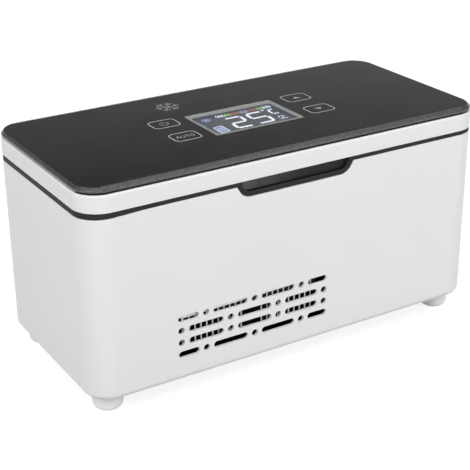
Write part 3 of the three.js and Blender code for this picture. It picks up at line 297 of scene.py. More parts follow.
def notch(shrink, y, top):
    """Outline of the finger notch on the front wall, drawn in from the wall's own cut."""
    half = NOTCH_HALF - shrink * math.hypot(1, NOTCH_LEAN)
    drop = NOTCH_DROP - shrink
    radius = max(NOTCH_RADIUS - shrink, 0.4)
    lean = math.atan(NOTCH_LEAN)
    arc_x = half - drop * NOTCH_LEAN - radius * math.tan((math.pi / 2 - lean) / 2)
    arc_z = CASE_TOP - drop + radius
    points = [(-half, top), (-half, CASE_TOP)]
    for side, start, end in ((-1, math.pi + lean, 1.5 * math.pi), (1, -math.pi / 2, -lean)):
        for step in range(13):
            angle = start + (end - start) * step / 12
            points.append((side * arc_x + radius * math.cos(angle), arc_z + radius * math.sin(angle)))
    points += [(half, CASE_TOP), (half, top)]
    return [(NOTCH_X + x, y, z) for x, z in points]


def vent_openings():
    """(x, z, half of the straight part) of every slot and hole."""
    radius = VENT_WIDTH / 2
    reach = 1.5 * VENT_PITCH + radius
    found = []
    for row in range(4):
        z = VENT_Z + (row - 1.5) * VENT_ROW
        shift = VENT_PITCH / 2 if row in (0, 3) else 0
        for place in range(-2, 3):
            slot = place * VENT_PITCH + shift
            hole = slot + VENT_PITCH / 2
            for centre, half in ((slot, VENT_SLOT / 2), (hole, radius)):
                left = max(centre - half, -reach) + radius
                right = min(centre + half, reach) - radius
                if right >= left - 0.01:
                    found.append((VENT_X + (left + right) / 2, z, max(right - left, 0) / 2))
    return found


def vent_tools(facing):
    """Cuts for one wall's slots and holes: the mouth rounded, the inner side opened out."""
    through = WALL + 1.0
    depths = [(-1.0, VENT_EDGE), *flare(VENT_EDGE), (VENT_RELIEF, 0.0), (through, through - VENT_RELIEF)]
    tools = []
    for x, z, half in vent_openings():
        wall = REAR - DRAFT * (CASE_TOP - z) / (CASE_TOP - CASE_BOTTOM - BOTTOM_FILLET)
        rings = []
        for depth, growth in depths:
            ring = stadium(half, VENT_WIDTH / 2 + growth)
            rings.append([(x + u, facing * (wall - depth), z + v) for u, v in ring])
        tools.append(skin(rings))
    return tools


def barrels(radius, half, edge=0.0):
    """Two round bars on the hinge's axis."""
    return [turned(drum(radius, -half, half, edge), (x, HINGE_Y, HINGE_Z), "X") for x in (-HINGE_X, HINGE_X)]


def screw_well(x, y, z):
    """Room for a screw's head from below, and the hole for its shank above it."""
    head, seat, shank = 2.75, 1.25, 1.5
    corners = [(1.0, -1, 0), (head, -1, 0), (2.6, seat, 0), (shank, seat, 0), (shank, 4, 0), (1.0, 4, 0)]
    return turned(corners, (x, y, z))


# Pieces
def make(name, shape):
    """A new object from a shape, its faces turned outwards."""
    mesh = bpy.data.meshes.new(name)
    points, faces = shape
    mesh.from_pydata([[value * MM for value in point] for point in points], [], faces)
    work = bmesh.new()
    work.from_mesh(mesh)
    bmesh.ops.recalc_face_normals(work, faces=work.faces)
    work.to_mesh(mesh)
    work.free()
    piece = bpy.data.objects.new(name, mesh)
    scene.collection.objects.link(piece)
    return piece


def carve(piece, *shapes, operation="DIFFERENCE"):
    """Cut shapes out of a piece, or join them on."""
    tool = make("tool", together(shapes))
    cut = piece.modifiers.new("cut", "BOOLEAN")
    cut.operation = operation
    cut.solver = "EXACT"
    cut.object = tool
    depsgraph = bpy.context.evaluated_depsgraph_get()
    result = bpy.data.meshes.new_from_object(piece.evaluated_get(depsgraph))
    piece.modifiers.clear()
    spent = [piece.data, tool.data]
    piece.data = result
    bpy.data.objects.remove(tool, do_unlink=True)
    for mesh in spent:
        bpy.data.meshes.remove(mesh)
    result.name = piece.name


def dress(piece, body, finishes, replaces=(), choose=None):
    """Finish a piece, with choose(face) naming the finish of each face, and hang it on its body."""
    mesh = piece.data
    mesh.materials.clear()
    for finish in finishes:
        mesh.materials.append(finish)
    for face in mesh.polygons:
        face.material_index = choose(face) if choose else 0
    mesh.shade_smooth()
    mesh.set_sharp_from_angle(angle=CREASE)
    fair = piece.modifiers.new("fair_normals", "WEIGHTED_NORMAL")
    fair.keep_sharp = True
    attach(piece, body)
    if replaces:
        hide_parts(*replaces)


def nearest(start, x, y):
    """The node of that name that stands closest to a place."""
    def away(name):
        low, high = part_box(name)
        return math.hypot((low[0] + high[0]) / 2 - x * MM, (low[1] + high[1]) / 2 - y * MM)

    return min((name for name in nodes if name.startswith(start)), key=away)


# Shader wiring
class Wiring:
    """Short words for placing and joining nodes in one tree."""

    def __init__(self, tree):
        self.tree = tree

    def put(self, kind, **settings):
        node = self.tree.nodes.new("ShaderNode" + kind)
        for key, value in settings.items():
            setattr(node, key, value)
        return node

    def feed(self, socket, value):
        if isinstance(value, bpy.types.NodeSocket):
            self.tree.links.new(value, socket)
        else:
            socket.default_value = value

    def fill(self, node, **values):
        for label, value in values.items():
            self.feed(node.inputs[label.replace("_", " ")], value)
        return node.outputs

    def give(self, **values):
        """Feed the outputs of a group, and hand over the group."""
        self.fill(self.tree.nodes.new("NodeGroupOutput"), **values)
        return self.tree

    def sums(self, operation, first, second=0.0, clamp=False):
        node = self.put("Math", operation=operation, use_clamp=clamp)
        self.feed(node.inputs[0], first)
        self.feed(node.inputs[1], second)
        return node.outputs[0]

    def spread(self, value, low, high, to_low=0.0, to_high=1.0):
        node = self.put("MapRange")
        for place, given in enumerate((value, low, high, to_low, to_high)):
            self.feed(node.inputs[place], given)
        return node.outputs[0]

    def mixed(self, factor, first, second, blend="MIX"):
        node = self.put("Mix", data_type="RGBA", blend_type=blend)
        sockets = {socket.identifier: socket for socket in node.inputs}
        self.feed(sockets["Factor_Float"], factor)
        self.feed(sockets["A_Color"], first)
        self.feed(sockets["B_Color"], second)
        return next(socket for socket in node.outputs if socket.identifier == "Result_Color")

    def parts(self, vector):
        """The X, Y and Z of a vector."""
        return self.fill(self.put("SeparateXYZ"), Vector=vector)

    def seen(self):
        """1 for what the eye sees, straight, mirrored or through glass."""
        path = self.put("LightPath").outputs
        mirrored = self.sums("ADD", path["Is Camera Ray"], path["Is Glossy Ray"], True)
        return self.sums("ADD", mirrored, path["Is Transmission Ray"], True)

    def position(self, stretch=None):
        place = self.put("TexCoord").outputs["Object"]
        if stretch is None:
            return place
        return self.fill(self.put("Mapping"), Vector=place, Scale=stretch)[0]

    def noise(self, place, scale, detail=2.0, rough=0.5):
        node = self.put("TexNoise")
        return self.fill(node, Vector=place, Scale=scale, Detail=detail, Roughness=rough)[0]

    def cells(self, place, scale):
        return self.fill(self.put("TexVoronoi"), Vector=place, Scale=scale)["Distance"]


def shared(name, gives, **takes):
    """A new node group with named outputs and inputs: its wiring and what it is given."""
    tree = bpy.data.node_groups.new(name, "ShaderNodeTree")
    for label, default in takes.items():
        kind = {3: "Vector", 4: "Color"}[len(default)] if isinstance(default, tuple) else "Float"
        socket = tree.interface.new_socket(
            label.replace("_", " "), in_out="INPUT", socket_type="NodeSocket" + kind)
        socket.default_value = default
    for label in gives:
        kind = "Color" if label == "Colour" else "Float"
        tree.interface.new_socket(label, in_out="OUTPUT", socket_type="NodeSocket" + kind)
    return Wiring(tree), tree.nodes.new("NodeGroupInput").outputs


def moulded_skin():
    """Moulded plastic: a faint drift of tone, uneven sheen and the fine texture of the mould."""
    wire, given = shared(
        "moulded_skin", ["Colour", "Roughness", "Height"], Colour=(0.8, 0.8, 0.8, 1), Tone_Drift=0.03,
        Roughness=0.4, Sheen_Drift=0.06, Grain_Scale=1800.0, Drift_Scale=16.0)
    place = wire.position()
    broad = wire.noise(place, given["Drift Scale"], 3.0)
    low = wire.sums("SUBTRACT", 1.0, given["Tone Drift"])
    high = wire.sums("ADD", 1.0, given["Tone Drift"])
    tone = wire.spread(broad, 0.3, 0.7, low, high)
    colour = wire.mixed(1.0, given["Colour"], tone, "MULTIPLY")
    grain = wire.noise(place, given["Grain Scale"], 2.0, 0.6)
    patches = wire.noise(place, 70.0, 4.0, 0.6)
    uneven = wire.sums("ADD", wire.sums("MULTIPLY", patches, 0.7), wire.sums("MULTIPLY", grain, 0.3))
    drift = wire.sums("MULTIPLY", wire.sums("SUBTRACT", uneven, 0.5), given["Sheen Drift"])
    rough = wire.sums("ADD", given["Roughness"], drift, True)
    return wire.give(Colour=colour, Roughness=rough, Height=grain)


def settled_dust():
    """Dust that lies in clouds and specks on faces turned up."""
    wire, given = shared(
        "settled_dust", ["Colour"], Colour=(0.02, 0.02, 0.02, 1), Dust=(0.5, 0.48, 0.45, 1), Amount=0.05)
    place = wire.position()
    facing = wire.parts(wire.put("NewGeometry").outputs["Normal"])
    upward = wire.spread(facing["Z"], 0.2, 0.95)
    clouds = wire.spread(wire.noise(place, 45.0, 4.0, 0.6), 0.35, 0.75)
    specks = wire.spread(wire.cells(place, 420.0), 0.16, 0.05)
    lying = wire.sums("ADD", wire.sums("MULTIPLY", clouds, 0.6), specks)
    mask = wire.sums("MULTIPLY", wire.sums("MULTIPLY", lying, upward), given["Amount"], True)
    return wire.give(Colour=wire.mixed(mask, given["Colour"], given["Dust"]))


def wiped_gloss():
    """A glossy face that has been wiped: soft smears, fine hairlines and a little waviness."""
    wire, given = shared(
        "wiped_gloss", ["Roughness", "Height"], Roughness=0.08, Smear=0.08, Hairline=0.1)
    smear = wire.spread(wire.noise(wire.position((1.0, 2.6, 1.0)), 24.0, 5.0, 0.62), 0.45, 0.8)
    lines = wire.noise(wire.position((40.0, 900.0, 40.0)), 1.6, 2.0, 0.7)
    hair = wire.spread(lines, 0.66, 0.74)
    worn = wire.sums("MULTIPLY", smear, given["Smear"])
    marked = wire.sums("MULTIPLY", hair, given["Hairline"])
    rough = wire.sums("ADD", wire.sums("ADD", given["Roughness"], worn), marked, True)
    return wire.give(Roughness=rough, Height=wire.noise(wire.position(), 30.0, 1.0))


def drawn_metal():
    """Rolled or extruded metal: streaks along one way, a drift of tone and small dull spots."""
    wire, given = shared(
        "drawn_metal", ["Colour", "Roughness", "Height"], Colour=(0.8, 0.8, 0.82, 1),
        Grain=(900.0, 12.0, 900.0), Streak=0.12, Roughness=0.35)
    streaks = wire.noise(wire.position(given["Grain"]), 1.0, 4.0, 0.65)
    spots = wire.spread(wire.noise(wire.position(), 160.0, 3.0), 0.6, 0.75)
    low = wire.sums("SUBTRACT", 1.0, given["Streak"])
    tone = wire.spread(streaks, 0.3, 0.7, low, 1.0)
    colour = wire.mixed(1.0, given["Colour"], tone, "MULTIPLY")
    uneven = wire.sums("MULTIPLY", wire.sums("SUBTRACT", streaks, 0.5), given["Streak"])
    dull = wire.sums("MULTIPLY", spots, 0.12)
    rough = wire.sums("ADD", wire.sums("ADD", given["Roughness"], uneven), dull, True)
    return wire.give(Colour=colour, Roughness=rough, Height=streaks)


def soft_cells():
    """Foam and rubber: closed cells, darkened in the low hollows between them as painted shade."""
    wire, given = shared(
        "soft_cells", ["Colour", "Roughness", "Height"], Colour=(0.7, 0.7, 0.66, 1), Cell_Scale=600.0,
        Depth=0.3)
    place = wire.position()
    cell = wire.cells(place, given["Cell Scale"])
    clouds = wire.noise(place, 40.0, 3.0)
    # Painted shade: darker where the relief is lowest
    shade = wire.sums("MULTIPLY", wire.spread(cell, 0.1, 0.8), given["Depth"])
    tone = wire.sums("SUBTRACT", wire.spread(clouds, 0.3, 0.7, 0.94, 1.04), shade)
    colour = wire.mixed(1.0, given["Colour"], tone, "MULTIPLY")
    rough = wire.spread(clouds, 0.3, 0.7, 0.82, 0.96)
    return wire.give(Colour=colour, Roughness=rough, Height=wire.sums("SUBTRACT", 1.0, cell))


def lit_drift():
    """Light from behind a display: brightest in the middle, cooler and dimmer towards the ends."""
    wire, given = shared(
        "lit_drift", ["Colour"], Middle=(0.1, 0.1, 0.09, 1), Ends=(0.05, 0.06, 0.11, 1))
    place = wire.parts(wire.position())
    across = wire.sums("ABSOLUTE", wire.sums("SUBTRACT", place["X"], 0.001))
    along = wire.sums("ABSOLUTE", wire.sums("ADD", place["Y"], 0.003))
    away = wire.sums("ADD", wire.spread(across, 0.006, 0.021), wire.spread(along, 0.004, 0.012, 0.0, 0.5))
    clouds = wire.noise(wire.position(), 160.0, 2.0)
    share = wire.sums("MULTIPLY", away, wire.spread(clouds, 0.3, 0.7, 0.6, 1.0), True)
    return wire.give(Colour=wire.mixed(share, given["Middle"], given["Ends"]))


def board_tracks():
    """Circuit board: solder mask over tracks, with bright pads and a metal mask for them."""
    wire, given = shared(
        "board_tracks", ["Colour", "Metallic", "Roughness", "Height"], Mask_Colour=(0.012, 0.1, 0.045, 1),
        Pad_Colour=(0.8, 0.7, 0.5, 1), Scale=260.0)
    place = wire.position()
    bricks = wire.put("TexBrick", offset=0.3, squash=1.0)
    tracks = wire.fill(bricks, Vector=place, Scale=given["Scale"], Mortar_Size=0.03)["Fac"]
    pads = wire.spread(wire.cells(place, given["Scale"]), 0.2, 0.14)
    lighter = wire.mixed(0.5, given["Mask Colour"], (0.05, 0.3, 0.12, 1))
    covered = wire.mixed(tracks, given["Mask Colour"], lighter)
    colour = wire.mixed(pads, covered, given["Pad Colour"])
    rough = wire.spread(pads, 0.0, 1.0, 0.42, 0.28)
    height = wire.sums("ADD", tracks, pads, True)
    return wire.give(Colour=colour, Metallic=pads, Roughness=rough, Height=height)


SKIN = moulded_skin()
DUST = settled_dust()
GLOSS = wiped_gloss()
METAL = drawn_metal()
CELLS = soft_cells()
GLOW = lit_drift()
TRACKS = board_tracks()


# Finishes
class Finish:
    """One material with its shader, ready for groups to be placed in it."""

    def __init__(self, name, **plain):
        self.material = bpy.data.materials.new(name)
        self.material.use_nodes = True
        self.wire = Wiring(self.material.node_tree)
        self.shader = self.material.node_tree.nodes["Principled BSDF"]
        self.join(**plain)

    def group(self, tree, **values):
        return self.wire.fill(self.wire.put("Group", node_tree=tree), **values)

    def join(self, **sockets):
        self.wire.fill(self.shader, **sockets)

    def coat(self, colour, out, depth, strength=0.5):
        """Give the shader a colour and a group's roughness and relief, and hand over the material."""
        bump = self.wire.fill(self.wire.put("Bump"), Strength=strength, Distance=depth, Height=out["Height"])
        self.join(Base_Color=colour, Roughness=out["Roughness"], Normal=bump[0])
        return self.material


def plastic(name, colour, rough, drift=0.025, grain=1800.0, depth=0.00002, dust=0.0, patch=16.0, **plain):
    """Moulded plastic, with dust on it where that is given."""
    finish = Finish(name, **plain)
    out = finish.group(SKIN, Colour=(*colour, 1), Tone_Drift=drift, Roughness=rough, Grain_Scale=grain,
                       Drift_Scale=patch)
    surface = out["Colour"]
    if dust:
        surface = finish.group(DUST, Colour=surface, Amount=dust)["Colour"]
    return finish.coat(surface, out, depth)


def metal(name, colour, grain, rough, streak=0.12):
    """Rolled metal, its streaks along the way in which grain is smallest."""
    finish = Finish(name, Metallic=1.0)
    out = finish.group(METAL, Colour=(*colour, 1), Grain=grain, Streak=streak, Roughness=rough)
    return finish.coat(out["Colour"], out, 0.00001)


def sink_with_painted_shade():
    """Extruded heat sink: bright on the sawn ends of its fins and in line with them above, and black
    elsewhere as painted shade between the fins.
    """
    finish = Finish("sink_aluminium_painted_shade")
    wire = finish.wire
    facing = wire.parts(wire.put("TexCoord").outputs["Normal"])
    ends = wire.spread(wire.sums("ABSOLUTE", facing["Y"]), 0.6, 0.9)
    place = wire.parts(wire.position())
    away = wire.sums("ABSOLUTE", wire.sums("SUBTRACT", place["X"], COOLER_X * MM))
    turn = wire.sums("DIVIDE", wire.sums("SUBTRACT", away, FIN_CHANNEL / 2 * MM), FIN_PITCH * MM)
    fin = wire.sums("LESS_THAN", wire.sums("FRACT", turn), FIN / FIN_PITCH)
    beside = wire.sums("GREATER_THAN", turn, 0.0)
    below = wire.sums("LESS_THAN", place["Z"], SINK_BASE_Z * MM)
    shown = wire.sums("ADD", wire.sums("MULTIPLY", fin, beside), below, True)
    # Black is painted shade between the fins, bright is the aluminium of the sawn ends
    black, bright = (0.012, 0.012, 0.012, 1), (0.93, 0.93, 0.94, 1)
    colour = wire.mixed(wire.sums("MULTIPLY", ends, shown), black, bright)
    out = finish.group(METAL, Colour=colour, Grain=(700.0, 10.0, 700.0), Streak=0.06, Roughness=0.5)
    return finish.coat(out["Colour"], out, 0.00001)


def pocket_with_painted_reflection():
    """Back wall of the finger pocket: dark grey that lightens most at its left end, a painted reflection."""
    finish = Finish("pocket_grey_painted_reflection", Specular_IOR_Level=0.2)
    wire = finish.wire
    left, right = ((NOTCH_X + side * NOTCH_HALF) * MM for side in (-1, 1))
    from_right = wire.spread(wire.parts(wire.position())["X"], right, left)
    colour = wire.mixed(wire.sums("POWER", from_right, 3.0), (0.02, 0.02, 0.02, 1), (0.13, 0.13, 0.12, 1))
    out = finish.group(SKIN, Colour=colour, Tone_Drift=0.25, Roughness=0.45, Drift_Scale=90.0)
    return finish.coat(out["Colour"], out, 0.00002)


def soft(name, colour, scale, depth, relief):
    """Foam or rubber."""
    finish = Finish(name)
    out = finish.group(CELLS, Colour=(*colour, 1), Cell_Scale=scale, Depth=depth)
    return finish.coat(out["Colour"], out, relief, 0.6)


def gloss(name, colour, rough, smear, hairline, dust):
    """A polished face with wiping marks and a little dust."""
    finish = Finish(name)
    out = finish.group(GLOSS, Roughness=rough, Smear=smear, Hairline=hairline)
    dusty = finish.group(DUST, Colour=(*colour, 1), Amount=dust)["Colour"]
    return finish.coat(dusty, out, 0.00002, 0.3)


def glowing(name, middle, ends, strength):
    """A lit part of the display."""
    finish = Finish(name, Roughness=0.4, Emission_Strength=strength)
    colour = finish.group(GLOW, Middle=(*middle, 1), Ends=(*ends, 1))["Colour"]
    finish.join(Base_Color=colour, Emission_Color=colour)
    return finish.material


def clear_pane():
    """Clear window: glass to the eye, open to the light that falls on the display below it."""
    finish = Finish("window_clear_pane", Base_Color=(0.9, 0.92, 0.93, 1), IOR=1.46, Transmission_Weight=1.0)
    out = finish.group(GLOSS, Roughness=0.02, Smear=0.04, Hairline=0.05)
    finish.join(Roughness=out["Roughness"])
    wire = finish.wire
    path = wire.put("LightPath")
    open_pane = wire.put("BsdfTransparent")
    open_pane.inputs["Color"].default_value = (0.9, 0.92, 0.93, 1)
    blend = wire.put("MixShader")
    wire.feed(blend.inputs[0], path.outputs["Is Shadow Ray"])
    wire.feed(blend.inputs[1], finish.shader.outputs[0])
    wire.feed(blend.inputs[2], open_pane.outputs[0])
    target = finish.material.node_tree.nodes["Material Output"]
    wire.feed(target.inputs["Surface"], blend.outputs[0])
    return finish.material


def circuit(name, mask, scale):
    """A circuit board."""
    finish = Finish(name)
    out = finish.group(TRACKS, Mask_Colour=(*mask, 1), Scale=scale)
    finish.join(Metallic=out["Metallic"])
    return finish.coat(out["Colour"], out, 0.00004)


CASE_WHITE = plastic("case_white_satin", (0.775, 0.775, 0.79), 0.4, drift=0.012, Specular_IOR_Level=0.25)
LID_WHITE = plastic("lid_white_satin", (0.78, 0.78, 0.79), 0.45, drift=0.01, Specular_IOR_Level=0.15)
# The feet get a lighter white than the case to offset the shade under it: painted light
FOOT_LIT_WHITE = plastic("foot_white_painted_light", (0.89, 0.89, 0.895), 0.5, drift=0.02, grain=1400.0)
BASE_WHITE = plastic("base_white_textured", (0.74, 0.74, 0.75), 0.5, grain=900.0, depth=0.00006)
# The cut walls of the vents get a darker copy of the case white: painted shade
VENT_SHADED_WHITE = plastic("vent_edges_painted_shade", (0.7, 0.7, 0.705), 0.5, drift=0.01)
STRIP_WHITE = soft("strip_white_foam", (0.95, 0.95, 0.945), 1400.0, 0.06, 0.00004)
# Black put on inner faces, the base's top and the pocket floor: painted shade
PAINTED_SHADE_BLACK = plastic("inner_painted_shade_black", (0.008, 0.008, 0.008), 0.8, grain=700.0, depth=0.00005,
                     Specular_IOR_Level=0.1)
POCKET_GREY = pocket_with_painted_reflection()
TRIM_BLACK = plastic("trim_black_satin", (0.035, 0.035, 0.034), 0.38, drift=0.08, grain=1500.0, dust=0.02,
                     Specular_IOR_Level=0.03)
COVER_BLACK = plastic("cover_black_textured", (0.02, 0.02, 0.021), 0.5, drift=0.08, grain=1000.0,
                      depth=0.00005)
FAN_BLACK = plastic("fan_black_matt", (0.014, 0.014, 0.015), 0.55, drift=0.1, grain=1200.0, dust=0.08)
PANEL_BLACK = gloss("panel_black_gloss", (0.0065, 0.0065, 0.0055), 0.07, 0.05, 0.06, 0.02)
PANEL_BEVEL = plastic("panel_bevel_ground", (0.045, 0.045, 0.044), 0.3, drift=0.6, grain=700.0,
                      depth=0.00006, patch=800.0, Specular_IOR_Level=0.9)
PANEL_EDGE = plastic("panel_edge_black", (0.008, 0.008, 0.008), 0.6, drift=0.1, Specular_IOR_Level=0.15)
# Grey on the panel's rear line and left foot: painted highlight
PANEL_PAINTED_HIGHLIGHT = plastic("panel_painted_highlight_line", (0.3, 0.3, 0.29), 0.4, drift=0.3, patch=500.0)
PANE = clear_pane()
MASK_GREY = plastic("display_mask_grey", (0.31, 0.305, 0.29), 0.45, drift=0.05)
LCD_DARK = glowing("lcd_dark_field", (0.055, 0.051, 0.043), (0.028, 0.034, 0.07), 0.05)
LCD_BODY = plastic("lcd_module_grey", (0.08, 0.08, 0.085), 0.4)
LCD_WHITE = glowing("lcd_white_segments", (0.84, 0.87, 1.0), (0.82, 0.86, 1.0), 0.6)
LCD_PALE = glowing("lcd_pale_segments", (0.5, 0.58, 0.95), (0.46, 0.55, 0.95), 0.4)
LCD_BLUE = glowing("lcd_blue_segments", (0.45, 0.53, 0.83), (0.36, 0.43, 0.73), 0.38)
LCD_GREEN = glowing("lcd_green_segments", (0.25, 0.75, 0.2), (0.25, 0.65, 0.2), 0.4)
LCD_RED = glowing("lcd_red_segments", (0.5, 0.12, 0.1), (0.45, 0.12, 0.1), 0.3)
INK_GREY = plastic("print_light_grey", (0.4, 0.4, 0.385), 0.5, drift=0.12, grain=2600.0)
INK_DIM = plastic("print_dim_grey", (0.26, 0.26, 0.25), 0.5, drift=0.15, grain=2600.0)
TRAY_METAL = metal("tray_aluminium_brushed", (0.82, 0.83, 0.84), (14.0, 900.0, 900.0), 0.34)
SINK_PAINTED_SHADE = sink_with_painted_shade()
STEEL = metal("steel_bright", (0.66, 0.66, 0.67), (400.0, 400.0, 400.0), 0.28)
FOAM = soft("foam_pale_cells", (0.72, 0.7, 0.64), 700.0, 0.25, 0.00025)
RUBBER = soft("rubber_dark", (0.03, 0.03, 0.031), 1500.0, 0.3, 0.00004)
CERAMIC = plastic("module_ceramic", (0.82, 0.81, 0.77), 0.6, grain=2200.0)
CELL_SLEEVE = plastic("cell_sleeve_grey", (0.1, 0.1, 0.105), 0.3, drift=0.08)
BOARD = circuit("board_green_mask", (0.012, 0.1, 0.045), 260.0)
FILM = metal("ribbon_film_copper", (0.55, 0.24, 0.06), (2600.0, 6.0, 6.0), 0.4, streak=0.5)


# Outer case with its vents, notch, hinge room and inlet hole
BASE_LEDGE = 4.6
NOTCH_ROOM = 0.3
NOTCH_EDGE = 0.25
JACK_HOLE = 3.8
JACK_MOUTH = 4.3
shell = moulded(CASE, [
    (BASE_LEDGE, CASE_BOTTOM, 0),
    (DRAFT, CASE_BOTTOM, BOTTOM_FILLET),
    (0, CASE_TOP, 0.15),
    (WALL, CASE_TOP, 0.2),
    (WALL + DRAFT, BASE_TOP, 0),
    (BASE_LEDGE, BASE_TOP, 0),
], True, 8, SIDE_POINTS)
case = make("case_shell", dipped(shell, CASE_TOP - 0.3, CASE_TOP))
carve(case, *vent_tools(-1))
carve(case, *vent_tools(1))
edge = [(-1.0, NOTCH_EDGE), *flare(NOTCH_EDGE), (9.0, 0.0)]
carve(case, skin([notch(-NOTCH_ROOM - growth, FRONT + depth, CASE_TOP + 1) for depth, growth in edge]))
hinge_room = barrels(HINGE_RADIUS + HINGE_GAP, KNUCKLE / 2 + EAR + 2 * HINGE_GAP)
carve(case, *hinge_room)
jack_hole = [(3.2, -4, 0), (JACK_HOLE, -4, 0), (JACK_HOLE, 0.05, 0), (JACK_MOUTH, 0.55, 0),
             (JACK_MOUTH, 1.5, 0), (3.2, 1.5, 0)]
carve(case, turned(jack_hole, (JACK[0], REAR - 0.55, JACK[1]), "Y"))


def case_side(face):
    """White outside, black painted shade on the inner walls, and a darker copy of the white as painted shade
    on the cut edges of the vents.
    """
    x, y, z = (value / MM for value in face.center)
    inner = inset(CASE, WALL - 0.05 + DRAFT * (CASE_TOP - z) / (CASE_TOP - BASE_TOP))
    half_x, half_y = inner[0] / 2, inner[1] / 2
    facing_in = face.normal.x * x < -0.01 or face.normal.y * y < -0.01
    inside = abs(x) < half_x and abs(y) < half_y
    corner = abs(x) > SIDE - CASE[2] and abs(y) > REAR - CASE[2]
    if BASE_TOP - 0.1 < z < CASE_TOP - 0.5 and facing_in and (inside or corner):
        return 1
    beside_vents = abs(x - VENT_X) < 2 * VENT_PITCH and abs(z - VENT_Z) < 2.5 * VENT_ROW
    return 2 if beside_vents and abs(face.normal.y) < 0.2 and abs(y) > half_y - 0.2 else 0


dress(case, "case", [CASE_WHITE, PAINTED_SHADE_BLACK, VENT_SHADED_WHITE], ["outer_case"], case_side)

# Base plate with intake slots, foot sockets and screw holes
BASE_EDGE = 4.9
INTAKE_RADIUS = 27.0
INTAKE_PITCH = 5.0
INTAKE_HALF_WIDTH = 1.2
INTAKE_EDGE = 0.25
FOOT_SOCKET = 2.8
base = make("base_plate_cover", moulded(CASE, [
    (9.0, CASE_BOTTOM, 0), (BASE_EDGE, CASE_BOTTOM, 0.35), (BASE_EDGE, BASE_TOP, 0.2), (9.0, BASE_TOP, 0)]))
intake = []
for slot in range(-5, 6):
    across = slot * INTAKE_PITCH
    half = math.sqrt(INTAKE_RADIUS**2 - across**2) - INTAKE_HALF_WIDTH
    rings = []
    for depth, growth in [(-1.0, INTAKE_EDGE), *flare(INTAKE_EDGE), (4.0, 0.0)]:
        ring = stadium(half, INTAKE_HALF_WIDTH + growth)
        rings.append([(COOLER_X + across + v, u, CASE_BOTTOM + depth) for u, v in ring])
    intake.append(skin(rings))
carve(base, *intake)
sockets = [turned(drum(FOOT_SOCKET, -1, 4), (x, y, CASE_BOTTOM)) for x, y in FOOT_PLACES]
sockets += [screw_well(x, y, CASE_BOTTOM) for x, y in BASE_SCREWS + FAN_SCREWS]
carve(base, *sockets)


def base_side(face):
    """White, with black painted shade on the inner face."""
    return int(face.normal.z > 0.5 and face.center.z > (BASE_TOP - 0.3) * MM)


dress(base, "case", [BASE_WHITE, PAINTED_SHADE_BLACK], ["base_plate"], base_side)

# Feet: a rounded pad that widens upwards, and a peg into the base
PAD_RADIUS = 6.65
FOOT_RADIUS = 7.3
FOOT_TOP = 8.85
PEG_RADIUS = 2.5
PEG_TOP = 11.25
foot_profile = [(2.0, 0.3, 0), (3.0, 0, 0.2), (PAD_RADIUS, 0, 2.8), (FOOT_RADIUS, FOOT_TOP, 0.25),
                (PEG_RADIUS, FOOT_TOP, 0), (PEG_RADIUS, PEG_TOP, 0.2), (1.5, PEG_TOP, 0)]
for place, (x, y) in enumerate(FOOT_PLACES):
    foot = make(f"foot_button_{place + 1}", turned(foot_profile, (x, y, 0)))
    dress(foot, "case", [FOOT_LIT_WHITE], [nearest("foot", x, y)])

# Black trim frame: flange, mouth, finger pocket and hinge ears
FLANGE_INSET = 0.1
RIB_OUTER = 2.5
RIB_INNER = 4.1
SKIRT = 2.0
LIP_EDGE = 0.35
POCKET_EDGE = 0.5
POCKET_ROUND = 0.4
EAR_EYE = 1.6
RIBBON_SLOT = (5.3, 0.45)
outer_path = softened([
    (RIB_INNER, FLANGE_BOTTOM, 0), (RIB_INNER, RIB_BOTTOM, 0.2), (RIB_OUTER, RIB_BOTTOM, 0.2),
    (RIB_OUTER, FLANGE_BOTTOM, 0), (FLANGE_INSET, FLANGE_BOTTOM, 0.15), (FLANGE_INSET, FLANGE_TOP, 0.2),
    (5.0, FLANGE_TOP, 0)])
mouth_path = softened([
    (-6.0, FLANGE_TOP, 0), (0, FLANGE_TOP, 0.8), (0, SKIRT_BOTTOM, 0.5), (-SKIRT, SKIRT_BOTTOM, 0.3),
    (-SKIRT, FLANGE_BOTTOM, 0)])
rings = rounds(CASE, outer_path, SIDE_POINTS) + rounds(MOUTH, mouth_path, SIDE_POINTS)
trim = make("trim_frame_moulding", dipped(skin(rings, True), FLANGE_BOTTOM, FLANGE_BOTTOM + 0.2))
lip_front = FRONT + FLANGE_INSET
lip = [notch(growth, lip_front + depth, FLANGE_TOP - 0.6) for depth, growth in flare(LIP_EDGE)]
lip.append(notch(0, POCKET_BACK + 1.8, FLANGE_TOP - 0.6))
carve(trim, skin(lip), operation="UNION")
pocket = [notch(NOTCH_LIP - growth, lip_front + depth, FLANGE_TOP + 1)
          for depth, growth in [(-1.0, POCKET_EDGE), *flare(POCKET_EDGE)]]
for step in range(ARC_STEPS + 1):
    angle = math.pi / 2 * step / ARC_STEPS
    y = POCKET_BACK - POCKET_ROUND * (1 - math.sin(angle))
    pocket.append(notch(NOTCH_LIP + POCKET_ROUND * (1 - math.cos(angle)), y, FLANGE_TOP + 1))
carve(trim, skin(pocket))
knuckle_room = barrels(HINGE_RADIUS + HINGE_GAP, KNUCKLE / 2 + HINGE_GAP)
half_x, half_y = RIBBON_SLOT
ribbon_room = brick((RIBBON_X - half_x, RIBBON_Y - half_y, 90), (RIBBON_X + half_x, RIBBON_Y + half_y, 98))
wells = [turned(drum(MAGNET_WELL, *CASE_WELL), (x, y, 0)) for x, y in MAGNETS]
carve(trim, *knuckle_room, ribbon_room, *wells)
near = KNUCKLE / 2 + HINGE_GAP
far = near + EAR
ear = [(EAR_EYE, near, 0), (HINGE_RADIUS, near, 0.3), (HINGE_RADIUS, far, 0.4), (EAR_EYE, far, 0)]
ears = []
